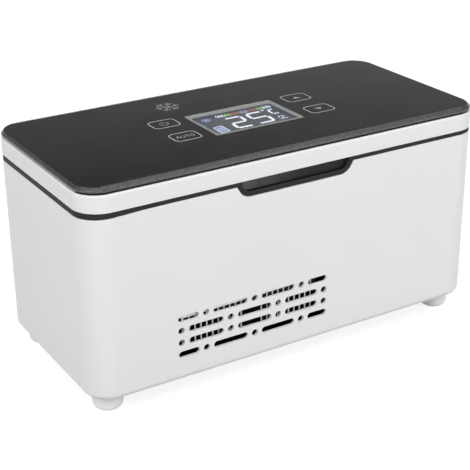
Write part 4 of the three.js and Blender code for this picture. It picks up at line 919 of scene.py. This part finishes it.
for x in (-HINGE_X, HINGE_X):
    for side in (-1, 1):
        profile = [(radius, side * along, rounding) for radius, along, rounding in ear]
        ears.append(turned(profile, (x, HINGE_Y, HINGE_Z), "X"))
carve(trim, *ears, operation="UNION")
carve(trim, *barrels(PIN_RADIUS + PIN_FIT, KNUCKLE / 2 + EAR + 1.5))


def trim_zone(face):
    """The floor of the finger pocket is black as painted shade, its back wall grey with a painted reflection
    at its left end.
    """
    x, y, z = (value / MM for value in face.center)
    in_pocket = abs(x - NOTCH_X) < NOTCH_HALF and lip_front + 0.45 < y < POCKET_BACK + 0.1
    if in_pocket and face.normal.y < -0.7:
        return 2
    return int(in_pocket and face.normal.z > 0.3 and z < FLANGE_BOTTOM - 1)


dress(trim, "case", [TRIM_BLACK, PAINTED_SHADE_BLACK, POCKET_GREY], ["trim_frame"], trim_zone)

# Cold tray
SHEET = 1.5
RIM_REACH = 5.5
tray = make("cold_tray_pan", moulded(MOUTH, [
    (7.0, TRAY_BOTTOM + SHEET, 0), (0, TRAY_BOTTOM + SHEET, 4.0), (0, RIM_TOP, 0.4),
    (-RIM_REACH, RIM_TOP, 0.3), (-RIM_REACH, RIM_TOP - SHEET, 0.3), (-SHEET, RIM_TOP - SHEET, 0),
    (-SHEET, TRAY_BOTTOM, 4.5), (7.0, TRAY_BOTTOM, 0)]))
dress(tray, "case", [TRAY_METAL], ["cold_tray"])

# Strip of white foam behind the top row of vents, lower at its left end, with a leg down that end
STRIP_SIDES = (FRONT + 2.4, FRONT + 2.9)
strip_edge = [(-59.95, 24.5), (-59.15, 24.5), (-59.15, 38.55), (17.0, 39.95), (17.0, 42.0), (-64.0, 42.0),
              (-64.0, 39.0), (-59.95, 39.0)]
strip = make("insulation_strip", skin([[(x, y, z) for x, z in strip_edge] for y in STRIP_SIDES]))
dress(strip, "case", [STRIP_WHITE])

# Power inlet with its centre pin
INLET = (9.0, 7.6, 0.6)
INLET_ENDS = (33.15, 45.85)
NOSE_RADIUS = 3.5
NOSE_END = 48.45
BORE_RADIUS = 2.7
BORE_MOUTH = 3.1
BORE_BACK = 40.45
PRONG_RADIUS = 0.9
PRONG_END = 47.45
jack_axis = (JACK[0], 0, JACK[1])
inlet_rings = []
for y in INLET_ENDS:
    inlet_rings.append([(JACK[0] + u, y, JACK[1] + v) for u, v, _ in outline(INLET, 0, steps=4)])
inlet = make("power_inlet_body", skin(inlet_rings))
nose = [(2.0, 44.0, 0), (NOSE_RADIUS, 44.0, 0), (NOSE_RADIUS, NOSE_END, 0.3), (2.0, NOSE_END, 0)]
carve(inlet, turned(nose, jack_axis, "Y"), operation="UNION")
bore = [(1.5, BORE_BACK, 0), (BORE_RADIUS, BORE_BACK, 0), (BORE_RADIUS, 48.15, 0), (BORE_MOUTH, 48.55, 0),
        (BORE_MOUTH, 49.5, 0), (1.5, 49.5, 0)]
carve(inlet, turned(bore, jack_axis, "Y"))
dress(inlet, "case", [COVER_BLACK], ["power_inlet"])
prong = [(0.4, 40.3, 0), (PRONG_RADIUS, 40.3, 0), (PRONG_RADIUS, PRONG_END, 0.5), (0.3, PRONG_END, 0)]
pin = make("power_inlet_pin", turned(prong, jack_axis, "Y", 24))
dress(pin, "case", [STEEL])

# Hinge pins
for place, x in enumerate((-HINGE_X, HINGE_X)):
    rod = drum(PIN_RADIUS, -far, far, 0.2)
    pin = make(f"hinge_pin_rod_{place + 1}", turned(rod, (x, HINGE_Y, HINGE_Z), "X", 24))
    dress(pin, "case", [STEEL], [f"hinge_pin_{place + 1}"])

# Screws with a domed head and a cross recess, heads down
SCREW_HEAD = 2.3
SCREW_HEAD_HEIGHT = 1.1
SCREW_SHANK = 1.2


def cross(z, size):
    """Outline of the recess for a driver."""
    arm, half = 1.35 * size, 0.3 * size
    points, quarter = [], [(half, half), (half, arm), (-half, arm)]
    for _ in range(4):
        points += [(x, y, z) for x, y in quarter]
        quarter = [(-y, x) for x, y in quarter]
    return points


def screw(name, x, y, z, length, body, node):
    """A screw whose head lies at height z and whose shank points up."""
    seat, tip = SCREW_HEAD_HEIGHT, SCREW_HEAD_HEIGHT + length
    piece = make(name, turned([
        (0.9, 0, 0), (SCREW_HEAD, 0, 0.55), (SCREW_HEAD, seat, 0.12), (SCREW_SHANK, seat, 0),
        (SCREW_SHANK, tip, 0.3), (0.6, tip, 0)], (0, 0, 0), steps=32))
    carve(piece, skin([cross(-0.2, 1.05), cross(0.75, 0.55)]))
    piece.data.transform(Matrix.Translation((x * MM, y * MM, z * MM)))
    dress(piece, body, [STEEL], [node])


for start, places, z, length, body in (
    ("base_screw", BASE_SCREWS, CASE_BOTTOM, 7.0, "case"),
    ("fan_screw", FAN_SCREWS, CASE_BOTTOM, 7.4, "case"),
    ("lid_screw", LID_SCREWS, COVER_BOTTOM, 2.15, "lid"),
):
    for place, (x, y) in enumerate(places):
        screw(f"{start}_head_{place + 1}", x, y, z, length, body, nearest(start, x, y))

# White lid band
LID_OPENING = (104.0, 46.0, 0.4)
lid = make("lid_band", moulded(CASE, [
    (WALL, LID_CEILING, 0), (WALL, LID_BOTTOM, 0.2), (0, LID_BOTTOM, 0.15), (0, LID_TOP, 0.8),
    (1.8, LID_TOP, 0)], steps=8))
carve(lid, slab(LID_OPENING, LID_CEILING - 1, LID_TOP + 1, (0, WINDOW_Y), 3))
carve(lid, *hinge_room)
dress(lid, "lid", [LID_WHITE], ["lid_shell"])

# Black touch panel with its ground bevel and the window cut through. Its face lies to the rear of its foot
PANEL_INSET = 0.6
PANEL_FOOT_INSET = 1.0
PANEL_FOOT_TOP = PANEL_BOTTOM + 0.9
BEVEL_BOTTOM = PANEL_BOTTOM + 1.7
BEVEL_INSET = 1.85
PANEL_LINE = 2.8
PANEL_SHIFT = 0.3
PANEL_REACH = 0.4
panel_plan = (CASE[0] + 2 * PANEL_REACH, CASE[1], CASE[2])
panel_path = softened([
    (4.0, PANEL_BOTTOM, 0), (PANEL_FOOT_INSET, PANEL_BOTTOM, 0), (PANEL_FOOT_INSET, PANEL_FOOT_TOP, 0),
    (PANEL_INSET, PANEL_FOOT_TOP, 0.1), (PANEL_INSET, BEVEL_BOTTOM, 0.3), (BEVEL_INSET, PANEL_FACE, 0.15),
    (PANEL_LINE, PANEL_FACE, 0), (6.0, PANEL_FACE, 0)])
rings = []
for by, z in panel_path:
    shift = PANEL_SHIFT if z > BEVEL_BOTTOM + 0.5 else 0
    rings.append(outline(inset(panel_plan, by), z, (0, shift)))
panel = make("touch_panel", skin(rings))
carve(panel, slab(WINDOW, PANEL_BOTTOM - 1, PANEL_TOP + 1, (WINDOW_X, WINDOW_Y), 3))


def from_edge(x, y):
    """How far a place lies inside the case's outline."""
    length, depth, radius = CASE
    over_x, over_y = abs(x) - length / 2 + radius, abs(y) - depth / 2 + radius
    if over_x > 0 and over_y > 0:
        return radius - math.hypot(over_x, over_y)
    return radius - max(over_x, over_y)


def panel_zone(face):
    """The face is polished and the rim ground. The rear line and the left foot are grey as a painted
    highlight, the rest black.
    """
    x, y, z = (value / MM for value in face.center)
    if face.normal.z > 0.93:
        y -= PANEL_SHIFT
    in_window = abs(x - WINDOW_X) < WINDOW[0] / 2 + 0.1 and abs(y - WINDOW_Y) < WINDOW[1] / 2 + 0.1
    on_rim = z > PANEL_FOOT_TOP + 0.05 and from_edge(x, y) < PANEL_LINE - 0.05
    if on_rim and face.normal.z < 0.93 and not in_window:
        return 1
    if on_rim and abs(y) > REAR - PANEL_LINE:
        return 3 if y > 0 else 1
    if face.normal.z > 0.5:
        return 0
    return 3 if face.normal.x < -0.97 and not in_window else 2


panel_finishes = [PANEL_BLACK, PANEL_BEVEL, PANEL_EDGE, PANEL_PAINTED_HIGHLIGHT]
dress(panel, "lid", panel_finishes, ["top_panel"], panel_zone)

# Inner cover with the plug, its gasket and the hinge knuckles
SEAL_INNER = -1.5
SEAL_OUTER = -4.5
SEAL_BOTTOM = 96.95
SEAL_TOP = 98.15
SEAL_ROOM = 0.3
PLATE_INSET = 2.6
PLUG_INSET = 4.0
PLUG_TAPER = 1.0
PLUG_WALL = 2.0
plug_path = softened([
    (8.0, PLUG_BOTTOM, 0), (PLUG_INSET, PLUG_BOTTOM, 1.2), (PLUG_INSET - PLUG_TAPER, COVER_BOTTOM, 0.5),
    (-6.0, COVER_BOTTOM, 0)])
plate_path = softened([
    (6.0, COVER_BOTTOM, 0), (PLATE_INSET, COVER_BOTTOM, 0.3), (PLATE_INSET, COVER_TOP, 0.2),
    (9.0, COVER_TOP, 0)])
cover = make("inner_cover_plug", skin(rounds(MOUTH, plug_path) + rounds(CASE, plate_path)))
inner, outer = SEAL_INNER + SEAL_ROOM, SEAL_OUTER - SEAL_ROOM
carve(cover, moulded(MOUTH, [(inner, 96.0, 0), (inner, 98.3, 0), (outer, 98.3, 0), (outer, 96.0, 0)], True))
hollow = PLUG_INSET + PLUG_WALL
carve(cover, skin(rounds(MOUTH, [(hollow, PLUG_BOTTOM + PLUG_WALL), (hollow, COVER_TOP + 1)])))
wells = [turned(drum(MAGNET_WELL, *LID_WELL), (x, y, 0)) for x, y in MAGNETS]
wells += [screw_well(x, y, COVER_BOTTOM) for x, y in LID_SCREWS]
carve(cover, *wells, ribbon_room, *hinge_room)
carve(cover, *barrels(HINGE_RADIUS, KNUCKLE / 2, 0.3), operation="UNION")
arms = []
for x in (-HINGE_X, HINGE_X):
    half = KNUCKLE / 2 - 0.4
    arms.append(brick((x - half, REAR - 4.4, COVER_BOTTOM + 0.05), (x + half, HINGE_Y, COVER_TOP - 0.05)))
carve(cover, *arms, operation="UNION")
carve(cover, *barrels(PIN_RADIUS + PIN_FIT, KNUCKLE / 2 + 1))
dress(cover, "lid", [COVER_BLACK], ["inner_cover"])
seal = make("lid_gasket_seal", moulded(MOUTH, [
    (SEAL_INNER, SEAL_BOTTOM, 0.6), (SEAL_INNER, SEAL_TOP, 0.1), (SEAL_OUTER, SEAL_TOP, 0.1),
    (SEAL_OUTER, SEAL_BOTTOM, 0.6)], True))
dress(seal, "lid", [RUBBER], ["lid_gasket"])

# Display: grey mask, dark module and lit signs under the clear pane
PANE_BOTTOM = 107.7
MASK_TOP = 107.62
PANE_PLAN = (47.3, 30.8, 0.4)
MASK_HOLE = (43.1, 24.9, 0.4)
MODULE = (46.3, 29.8, 0.4)
window_place = (WINDOW_X, WINDOW_Y)
hole_place = (WINDOW_X - 0.45, WINDOW_Y - 1.2)


def not_upward(face):
    """The second finish for all but the upper side."""
    return int(face.normal.z < 0.5)


pane = make("window_pane", slab(PANE_PLAN, PANE_BOTTOM, PANEL_FACE, window_place))
dress(pane, "lid", [PANE], ["display_window"])
mask = make("display_mask", slab(PANE_PLAN, LCD_TOP + 0.15, MASK_TOP, window_place))
carve(mask, slab(MASK_HOLE, LCD_TOP - 1, MASK_TOP + 1, hole_place))
# The mask's outer sides and the walls of its hole take the dark field's finish, a painted shade
dress(mask, "lid", [MASK_GREY, LCD_DARK], ["screen_frame"], not_upward)
module = make("lcd_module", slab(MODULE, LID_CEILING, LCD_FACE, window_place))
dress(module, "lid", [LCD_DARK, LCD_BODY], ["screen"], not_upward)


# Flat signs: strokes and filled outlines, each as thick as its layer, given as (bottom, top)
def stroke(points, width, layer, closed=False):
    """A band of even width along a line of points."""
    bottom, top = layer
    count = len(points)
    rings = []
    for place, point in enumerate(points):
        here = Vector(point)
        back = Vector(points[place - 1]) if closed or place else None
        ahead = Vector(points[(place + 1) % count]) if closed or place + 1 < count else None
        into = (here - back).normalized() if back else (ahead - here).normalized()
        out = (ahead - here).normalized() if ahead else into
        normal = Vector((-(into.y + out.y), into.x + out.x)).normalized()
        reach = width / 2 / max(normal.dot(Vector((-into.y, into.x))), 0.35)
        left, right = here + normal * reach, here - normal * reach
        rings.append([(*left, top), (*right, top), (*right, bottom), (*left, bottom)])
    return skin(rings, closed)


def filled(points, layer):
    """A flat sign with a straight-sided outline."""
    return skin([[(x, y, z) for x, y in points] for z in layer])


def arc(centre, radius, start, end, steps=24):
    """Points on a circle between two angles in degrees."""
    angles = [math.radians(start + (end - start) * step / steps) for step in range(steps + 1)]
    return [(centre[0] + radius * math.cos(a), centre[1] + radius * math.sin(a)) for a in angles]


def frame_line(centre, length, depth, radius):
    """Points round a rounded rectangle."""
    return [(x, y) for x, y, _ in outline((length, depth, radius), 0, centre, 8)]


def snowflake(centre, radius, width, layer):
    """Six arms with a pair of barbs each and a small hexagon round the middle."""
    middle = Vector(centre)
    bands = [stroke(arc(centre, radius * 0.27, 0, 300, 5), width * 0.8, layer, True)]
    for arm in range(6):
        angle = math.radians(60 * arm)
        along = Vector((math.cos(angle), math.sin(angle)))
        bands.append(stroke([middle, middle + along * radius], width, layer))
        foot = middle + along * radius * 0.5
        for turn in (-40, 40):
            barb = Vector((math.cos(angle + math.radians(turn)), math.sin(angle + math.radians(turn))))
            bands.append(stroke([foot + barb * width * 0.75, foot + barb * radius * 0.45], width, layer))
    return together(bands)


# Print on the panel: an outline and a sign for each key, and a snowflake
PRINT = (PANEL_FACE - 0.01, PANEL_TOP)
KEY_FRAME = (13.2, 10.0, 2.4)
KEY_LINE = 0.52
RING_LINE = 0.42
LETTER_LINE = 0.4


def ring_sign(x, y):
    """An open ring with a bar in its gap."""
    ring = stroke(arc((x, y), 2.0, 125, 415), RING_LINE, PRINT)
    return [ring, stroke([(x, y + 0.5), (x, y + 2.5)], RING_LINE, PRINT)]


def auto_sign(x, y):
    """The word AUTO in thin capitals."""
    left, foot = x - 4.5, y - 1.25
    letters = [
        [(0, 0), (0.95, 2.5), (1.9, 0)],
        [(2.5, 2.5), (2.5, 0.6), (2.8, 0.1), (3.4, 0), (4.0, 0.1), (4.3, 0.6), (4.3, 2.5)],
        [(4.85, 2.5), (6.75, 2.5)],
        [(5.8, 2.27), (5.8, 0)],
    ]
    bands = [stroke([(left + u, foot + v) for u, v in letter], LETTER_LINE, PRINT) for letter in letters]
    bands.append(stroke([(left + 0.62, foot + 0.85), (left + 1.28, foot + 0.85)], 0.36, PRINT))
    bands.append(stroke(frame_line((left + 8.1, foot + 1.25), 1.75, 2.3, 0.8), LETTER_LINE, PRINT, True))
    return bands


def arrow_sign(x, y, up):
    """A filled triangle that points to the rear, or to the front where up is -1."""
    triangle = [(-2.1, -1.5 * up), (2.1, -1.5 * up), (0, 1.6 * up)]
    return [filled([(x + u, y + v) for u, v in triangle], PRINT)]


def printed(name, shape, ink):
    """A sign printed on the panel."""
    dress(make(name, shape), "lid", [ink])


signs = {
    "power": ring_sign(*KEYS["power"]),
    "mode": auto_sign(*KEYS["mode"]),
    "up": arrow_sign(*KEYS["up"], 1),
    "down": arrow_sign(*KEYS["down"], -1),
}
for key, centre in KEYS.items():
    printed(f"print_outline_{key}", stroke(frame_line(centre, *KEY_FRAME), KEY_LINE, PRINT, True), INK_GREY)
    printed(f"print_sign_{key}", together(signs[key]), INK_DIM)
printed("print_snowflake", snowflake((-23.4, 29.5), 6.1, 0.62, PRINT), INK_DIM)

# Lit signs of the display
LIT = (LCD_FACE - 0.01, LCD_TOP)
DIGIT_LINE = 1.5
GAUGE = (5.2, 7.4)
TICK_LINE = 0.85
FAN_PLACE = (16.6, -8.6)


def lit(name, bands, finish):
    """A lit sign of the display."""
    dress(make(name, together(bands)), "lid", [finish])


# Digits, degree sign and C, the outline of the battery, and a small fan on its stand
digit_two = [[(-7.4, 2.4), (-0.1, 2.4)], [(0.2, 1.6), (-0.4, -4.0)], [(-0.6, -4.8), (-7.9, -4.8)],
             [(-8.1, -5.6), (-8.7, -10.9)], [(-8.5, -11.6), (-1.3, -11.6)]]
digit_five = [[(11.6, 3.0), (4.4, 3.0)], [(4.0, 2.2), (3.4, -3.2)], [(3.6, -4.0), (11.2, -4.0)],
              [(11.5, -4.8), (11.0, -10.6)], [(10.7, -11.4), (3.4, -11.4)]]
letter_c = [[(18.8, 3.2), (16.3, 2.9)], [(16.0, 2.3), (15.6, -2.6)], [(15.9, -3.2), (18.7, -3.1)]]
bands = [stroke(line, DIGIT_LINE, LIT) for line in digit_two + digit_five]
bands += [stroke(line, 0.95, LIT) for line in letter_c]
bands.append(stroke(arc((13.9, 4.0), 0.6, 0, 345), 0.45, LIT))
battery = [(-18.8, -13.5), (-14.1, -12.6), (-14.0, -4.7), (-18.5, -5.6)]
bands.append(stroke(battery, 0.5, LIT, True))
for blade in range(3):
    bands.append(stroke(arc(FAN_PLACE, 1.25, 120 * blade, 120 * blade + 75, 8), 0.75, LIT))
bands.append(stroke([(14.6, -11.2), (18.6, -11.2)], 0.4, LIT))
lit("lcd_digits", bands, LCD_WHITE)

# Bars of the battery
bars = []
for bar in range(3):
    x, y = -17.45 + 1.1 * bar, -12.1 + 0.2 * bar
    bars.append(stroke([(x, y), (x + 0.2, y + 5.6)], 0.75, LIT))
lit("lcd_battery_bars", bars, LCD_PALE)

# Gauge: bent ticks on both sides of a small fan in a ring
for tint, finish, places in (
    ("white", LCD_WHITE, (11.3, 12.9, 14.5)),
    ("green", LCD_GREEN, (8.1, 9.6)),
    ("red", LCD_RED, (3.3, 4.9, 6.5)),
):
    ticks = []
    for side in (-1, 1):
        for away in places:
            x, y = GAUGE[0] + side * away, GAUGE[1]
            tick = [(x - side * 0.5, y + 1.7), (x + side * 0.4, y), (x - side * 0.5, y - 1.7)]
            ticks.append(stroke(tick, TICK_LINE, LIT))
    lit(f"lcd_gauge_{tint}", ticks, finish)
icons = [snowflake((-16.0, 5.6), 2.4, 0.36, LIT)]
for blade in range(4):
    icons.append(stroke(arc(GAUGE, 1.2, 90 * blade, 90 * blade + 62, 8), 0.9, LIT))
icons.append(stroke(arc(GAUGE, 2.0, 0, 360 - 8, 32), 0.25, LIT))
lit("lcd_icons", icons, LCD_BLUE)

# Ribbon cable: back from the display board, down the rear and in to the main board
RIBBON_HALF = 5.0
RIBBON_THICK = 0.3
BEND = 1.4
BEND_Y = RIBBON_Y - BEND
UPPER_Z = 101.05
LOWER_Z = 37.15
BEND_ANGLES = [math.radians(angle) for angle in range(0, 91, 15)]
route = [(26.6, UPPER_Z), (34.0, UPPER_Z)]
route += [(BEND_Y + BEND * math.sin(a), UPPER_Z - BEND + BEND * math.cos(a)) for a in BEND_ANGLES]
route += [(RIBBON_Y, 99.4 - 0.25 * step) for step in range(24)]
route += [(RIBBON_Y, 80.0), (RIBBON_Y, 60.0), (RIBBON_Y, 45.0)]
route += [(BEND_Y + BEND * math.cos(a), LOWER_Z + BEND - BEND * math.sin(a)) for a in BEND_ANGLES]
route += [(36.0, LOWER_Z), (30.0, LOWER_Z)]
rings = []
for place, (y, z) in enumerate(route):
    before = Vector(route[max(place - 1, 0)])
    after = Vector(route[min(place + 1, len(route) - 1)])
    along = (after - before).normalized()
    across = Vector((-along.y, along.x)) * RIBBON_THICK / 2
    ring = [(-RIBBON_HALF, 1), (RIBBON_HALF, 1), (RIBBON_HALF, -1), (-RIBBON_HALF, -1)]
    rings.append([(RIBBON_X + u, y + v * across.x, z + v * across.y) for u, v in ring])
ribbon = make("ribbon_cable", skin(rings))
ribbon.data.materials.append(FILM)
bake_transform(ribbon)
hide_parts("display_ribbon")

# Finishes of the solids that stay as they are, by the start of their names
KEPT = {
    "heat_sink": SINK_PAINTED_SHADE, "cold_block": TRAY_METAL, "cooling_module": CERAMIC, "temperature_sensor": STEEL,
    "insulation_foam": FOAM, "lid_foam": FOAM, "fan_frame": FAN_BLACK, "fan_rotor": FAN_BLACK,
    "battery_cradle": FAN_BLACK, "battery_cell": CELL_SLEEVE, "main_board": BOARD, "display_board": BOARD,
    "touch_sensor": RUBBER, "case_magnet": STEEL, "lid_magnet": STEEL, "sink_screw": STEEL,
}
for name, node in nodes.items():
    for start, finish in KEPT.items():
        if name.startswith(start):
            for slot in node.material_slots:
                slot.material = finish

# Pale floor that keeps the shadow
FLOOR_REACH = 6.0
floor_mesh = bpy.data.meshes.new("floor")
floor_corners = [(sx * FLOOR_REACH, sy * FLOOR_REACH, 0) for sx, sy in ((-1, -1), (1, -1), (1, 1), (-1, 1))]
floor_mesh.from_pydata(floor_corners, [], [(0, 1, 2, 3)])
floor = bpy.data.objects.new("floor", floor_mesh)
scene.collection.objects.link(floor)
floor_finish = Finish("floor_white", Roughness=0.9, Specular_IOR_Level=0.0, Emission_Color=(1, 1, 1, 1))
wire = floor_finish.wire
paper = wire.spread(wire.noise(wire.position(), 3.0, 2.0), 0.3, 0.7, 0.93, 0.95)
seen = wire.seen()
floor_finish.join(Base_Color=wire.sums("MULTIPLY", paper, wire.spread(seen, 0.0, 1.0, 0.5, 0.3)))
floor_finish.join(Emission_Strength=wire.spread(seen, 0.0, 1.0, 0.0, 0.82))
floor_mesh.materials.append(floor_finish.material)

# World: even white light, but to the eye and in gloss a pale horizon, darker upwards, and a bright ceiling
world = bpy.data.worlds.new("studio")
scene.world = world
world.use_nodes = True
wire = Wiring(world.node_tree)
background = world.node_tree.nodes["Background"]
seen = wire.seen()
height = wire.parts(wire.put("TexCoord").outputs["Generated"])["Z"]
low = wire.spread(height, 0.1, 0.27, 0.68, 0.0)
middle = wire.spread(height, 0.27, 0.42, 0.28, 0.03)
high = wire.spread(height, 0.5, 0.95, 0.035, 0.7)
studio = wire.sums("ADD", wire.sums("ADD", low, middle), high, True)
wire.feed(background.inputs["Color"], wire.mixed(seen, (1.0, 1.0, 1.0, 1.0), studio))
wire.feed(background.inputs["Strength"], wire.spread(seen, 0.0, 1.0, 0.5, 1.0))


# Lamps
LAMP_TARGET = Vector((0, -0.02, 0.08))


def softbox(name, place, size, power, mirrored):
    """A soft lamp turned to the object. One that isn't mirrored doesn't show in glossy faces."""
    lamp = bpy.data.lights.new(name, "AREA")
    lamp.shape = "RECTANGLE"
    lamp.size, lamp.size_y = size
    lamp.energy = power
    holder = bpy.data.objects.new(name, lamp)
    holder.location = place
    holder.rotation_euler = (LAMP_TARGET - Vector(place)).to_track_quat("-Z", "Y").to_euler()
    holder.visible_glossy = mirrored
    scene.collection.objects.link(holder)


softbox("left_softbox", (-0.70, -0.36, 0.75), (0.5, 0.4), 4.85, True)
softbox("middle_softbox", (-0.25, -0.62, 0.82), (0.5, 0.4), 0.75, True)
softbox("right_softbox", (0.26, -0.50, 0.38), (0.3, 0.25), 0.9, True)
softbox("front_softbox", (0.10, -1.20, 0.50), (0.6, 0.4), 1.6, False)
softbox("edge_softbox", (0.62, -0.55, 1.10), (0.5, 0.5), 1.0, True)
softbox("top_softbox", (0.10, 0.10, 1.70), (1.4, 1.4), 1.5, True)
softbox("rear_softbox", (0.08, 1.10, 0.80), (0.8, 0.5), 3.5, False)

# Camera: its place in metres, its angles in degrees and its focal length in picture widths
CAMERA_PLACE = (-0.282672, -0.459600, 0.289166)
CAMERA_AZIMUTH = -31.2085
CAMERA_ELEVATION = 24.207
CAMERA_ROLL = -0.499
CAMERA_FOCAL = 1215.036 / 470
camera_data = bpy.data.cameras.new("camera")
camera_data.sensor_width = 36.0
camera_data.lens = CAMERA_FOCAL * camera_data.sensor_width
camera_data.clip_start = 0.01
camera = bpy.data.objects.new("camera", camera_data)
azimuth, elevation, roll = (math.radians(a) for a in (CAMERA_AZIMUTH, CAMERA_ELEVATION, CAMERA_ROLL))
ahead = Vector((-math.sin(azimuth), math.cos(azimuth), 0))
forward = ahead * math.cos(elevation) - Vector((0, 0, math.sin(elevation)))
level = Vector((math.cos(azimuth), math.sin(azimuth), 0))
right = level * math.cos(roll) + level.cross(forward) * math.sin(roll)
turn = Matrix((right, right.cross(forward), -forward)).transposed()
camera.matrix_world = Matrix.Translation(CAMERA_PLACE) @ turn.to_4x4()
scene.collection.objects.link(camera)
scene.camera = camera
scene.view_settings.view_transform = "Standard"
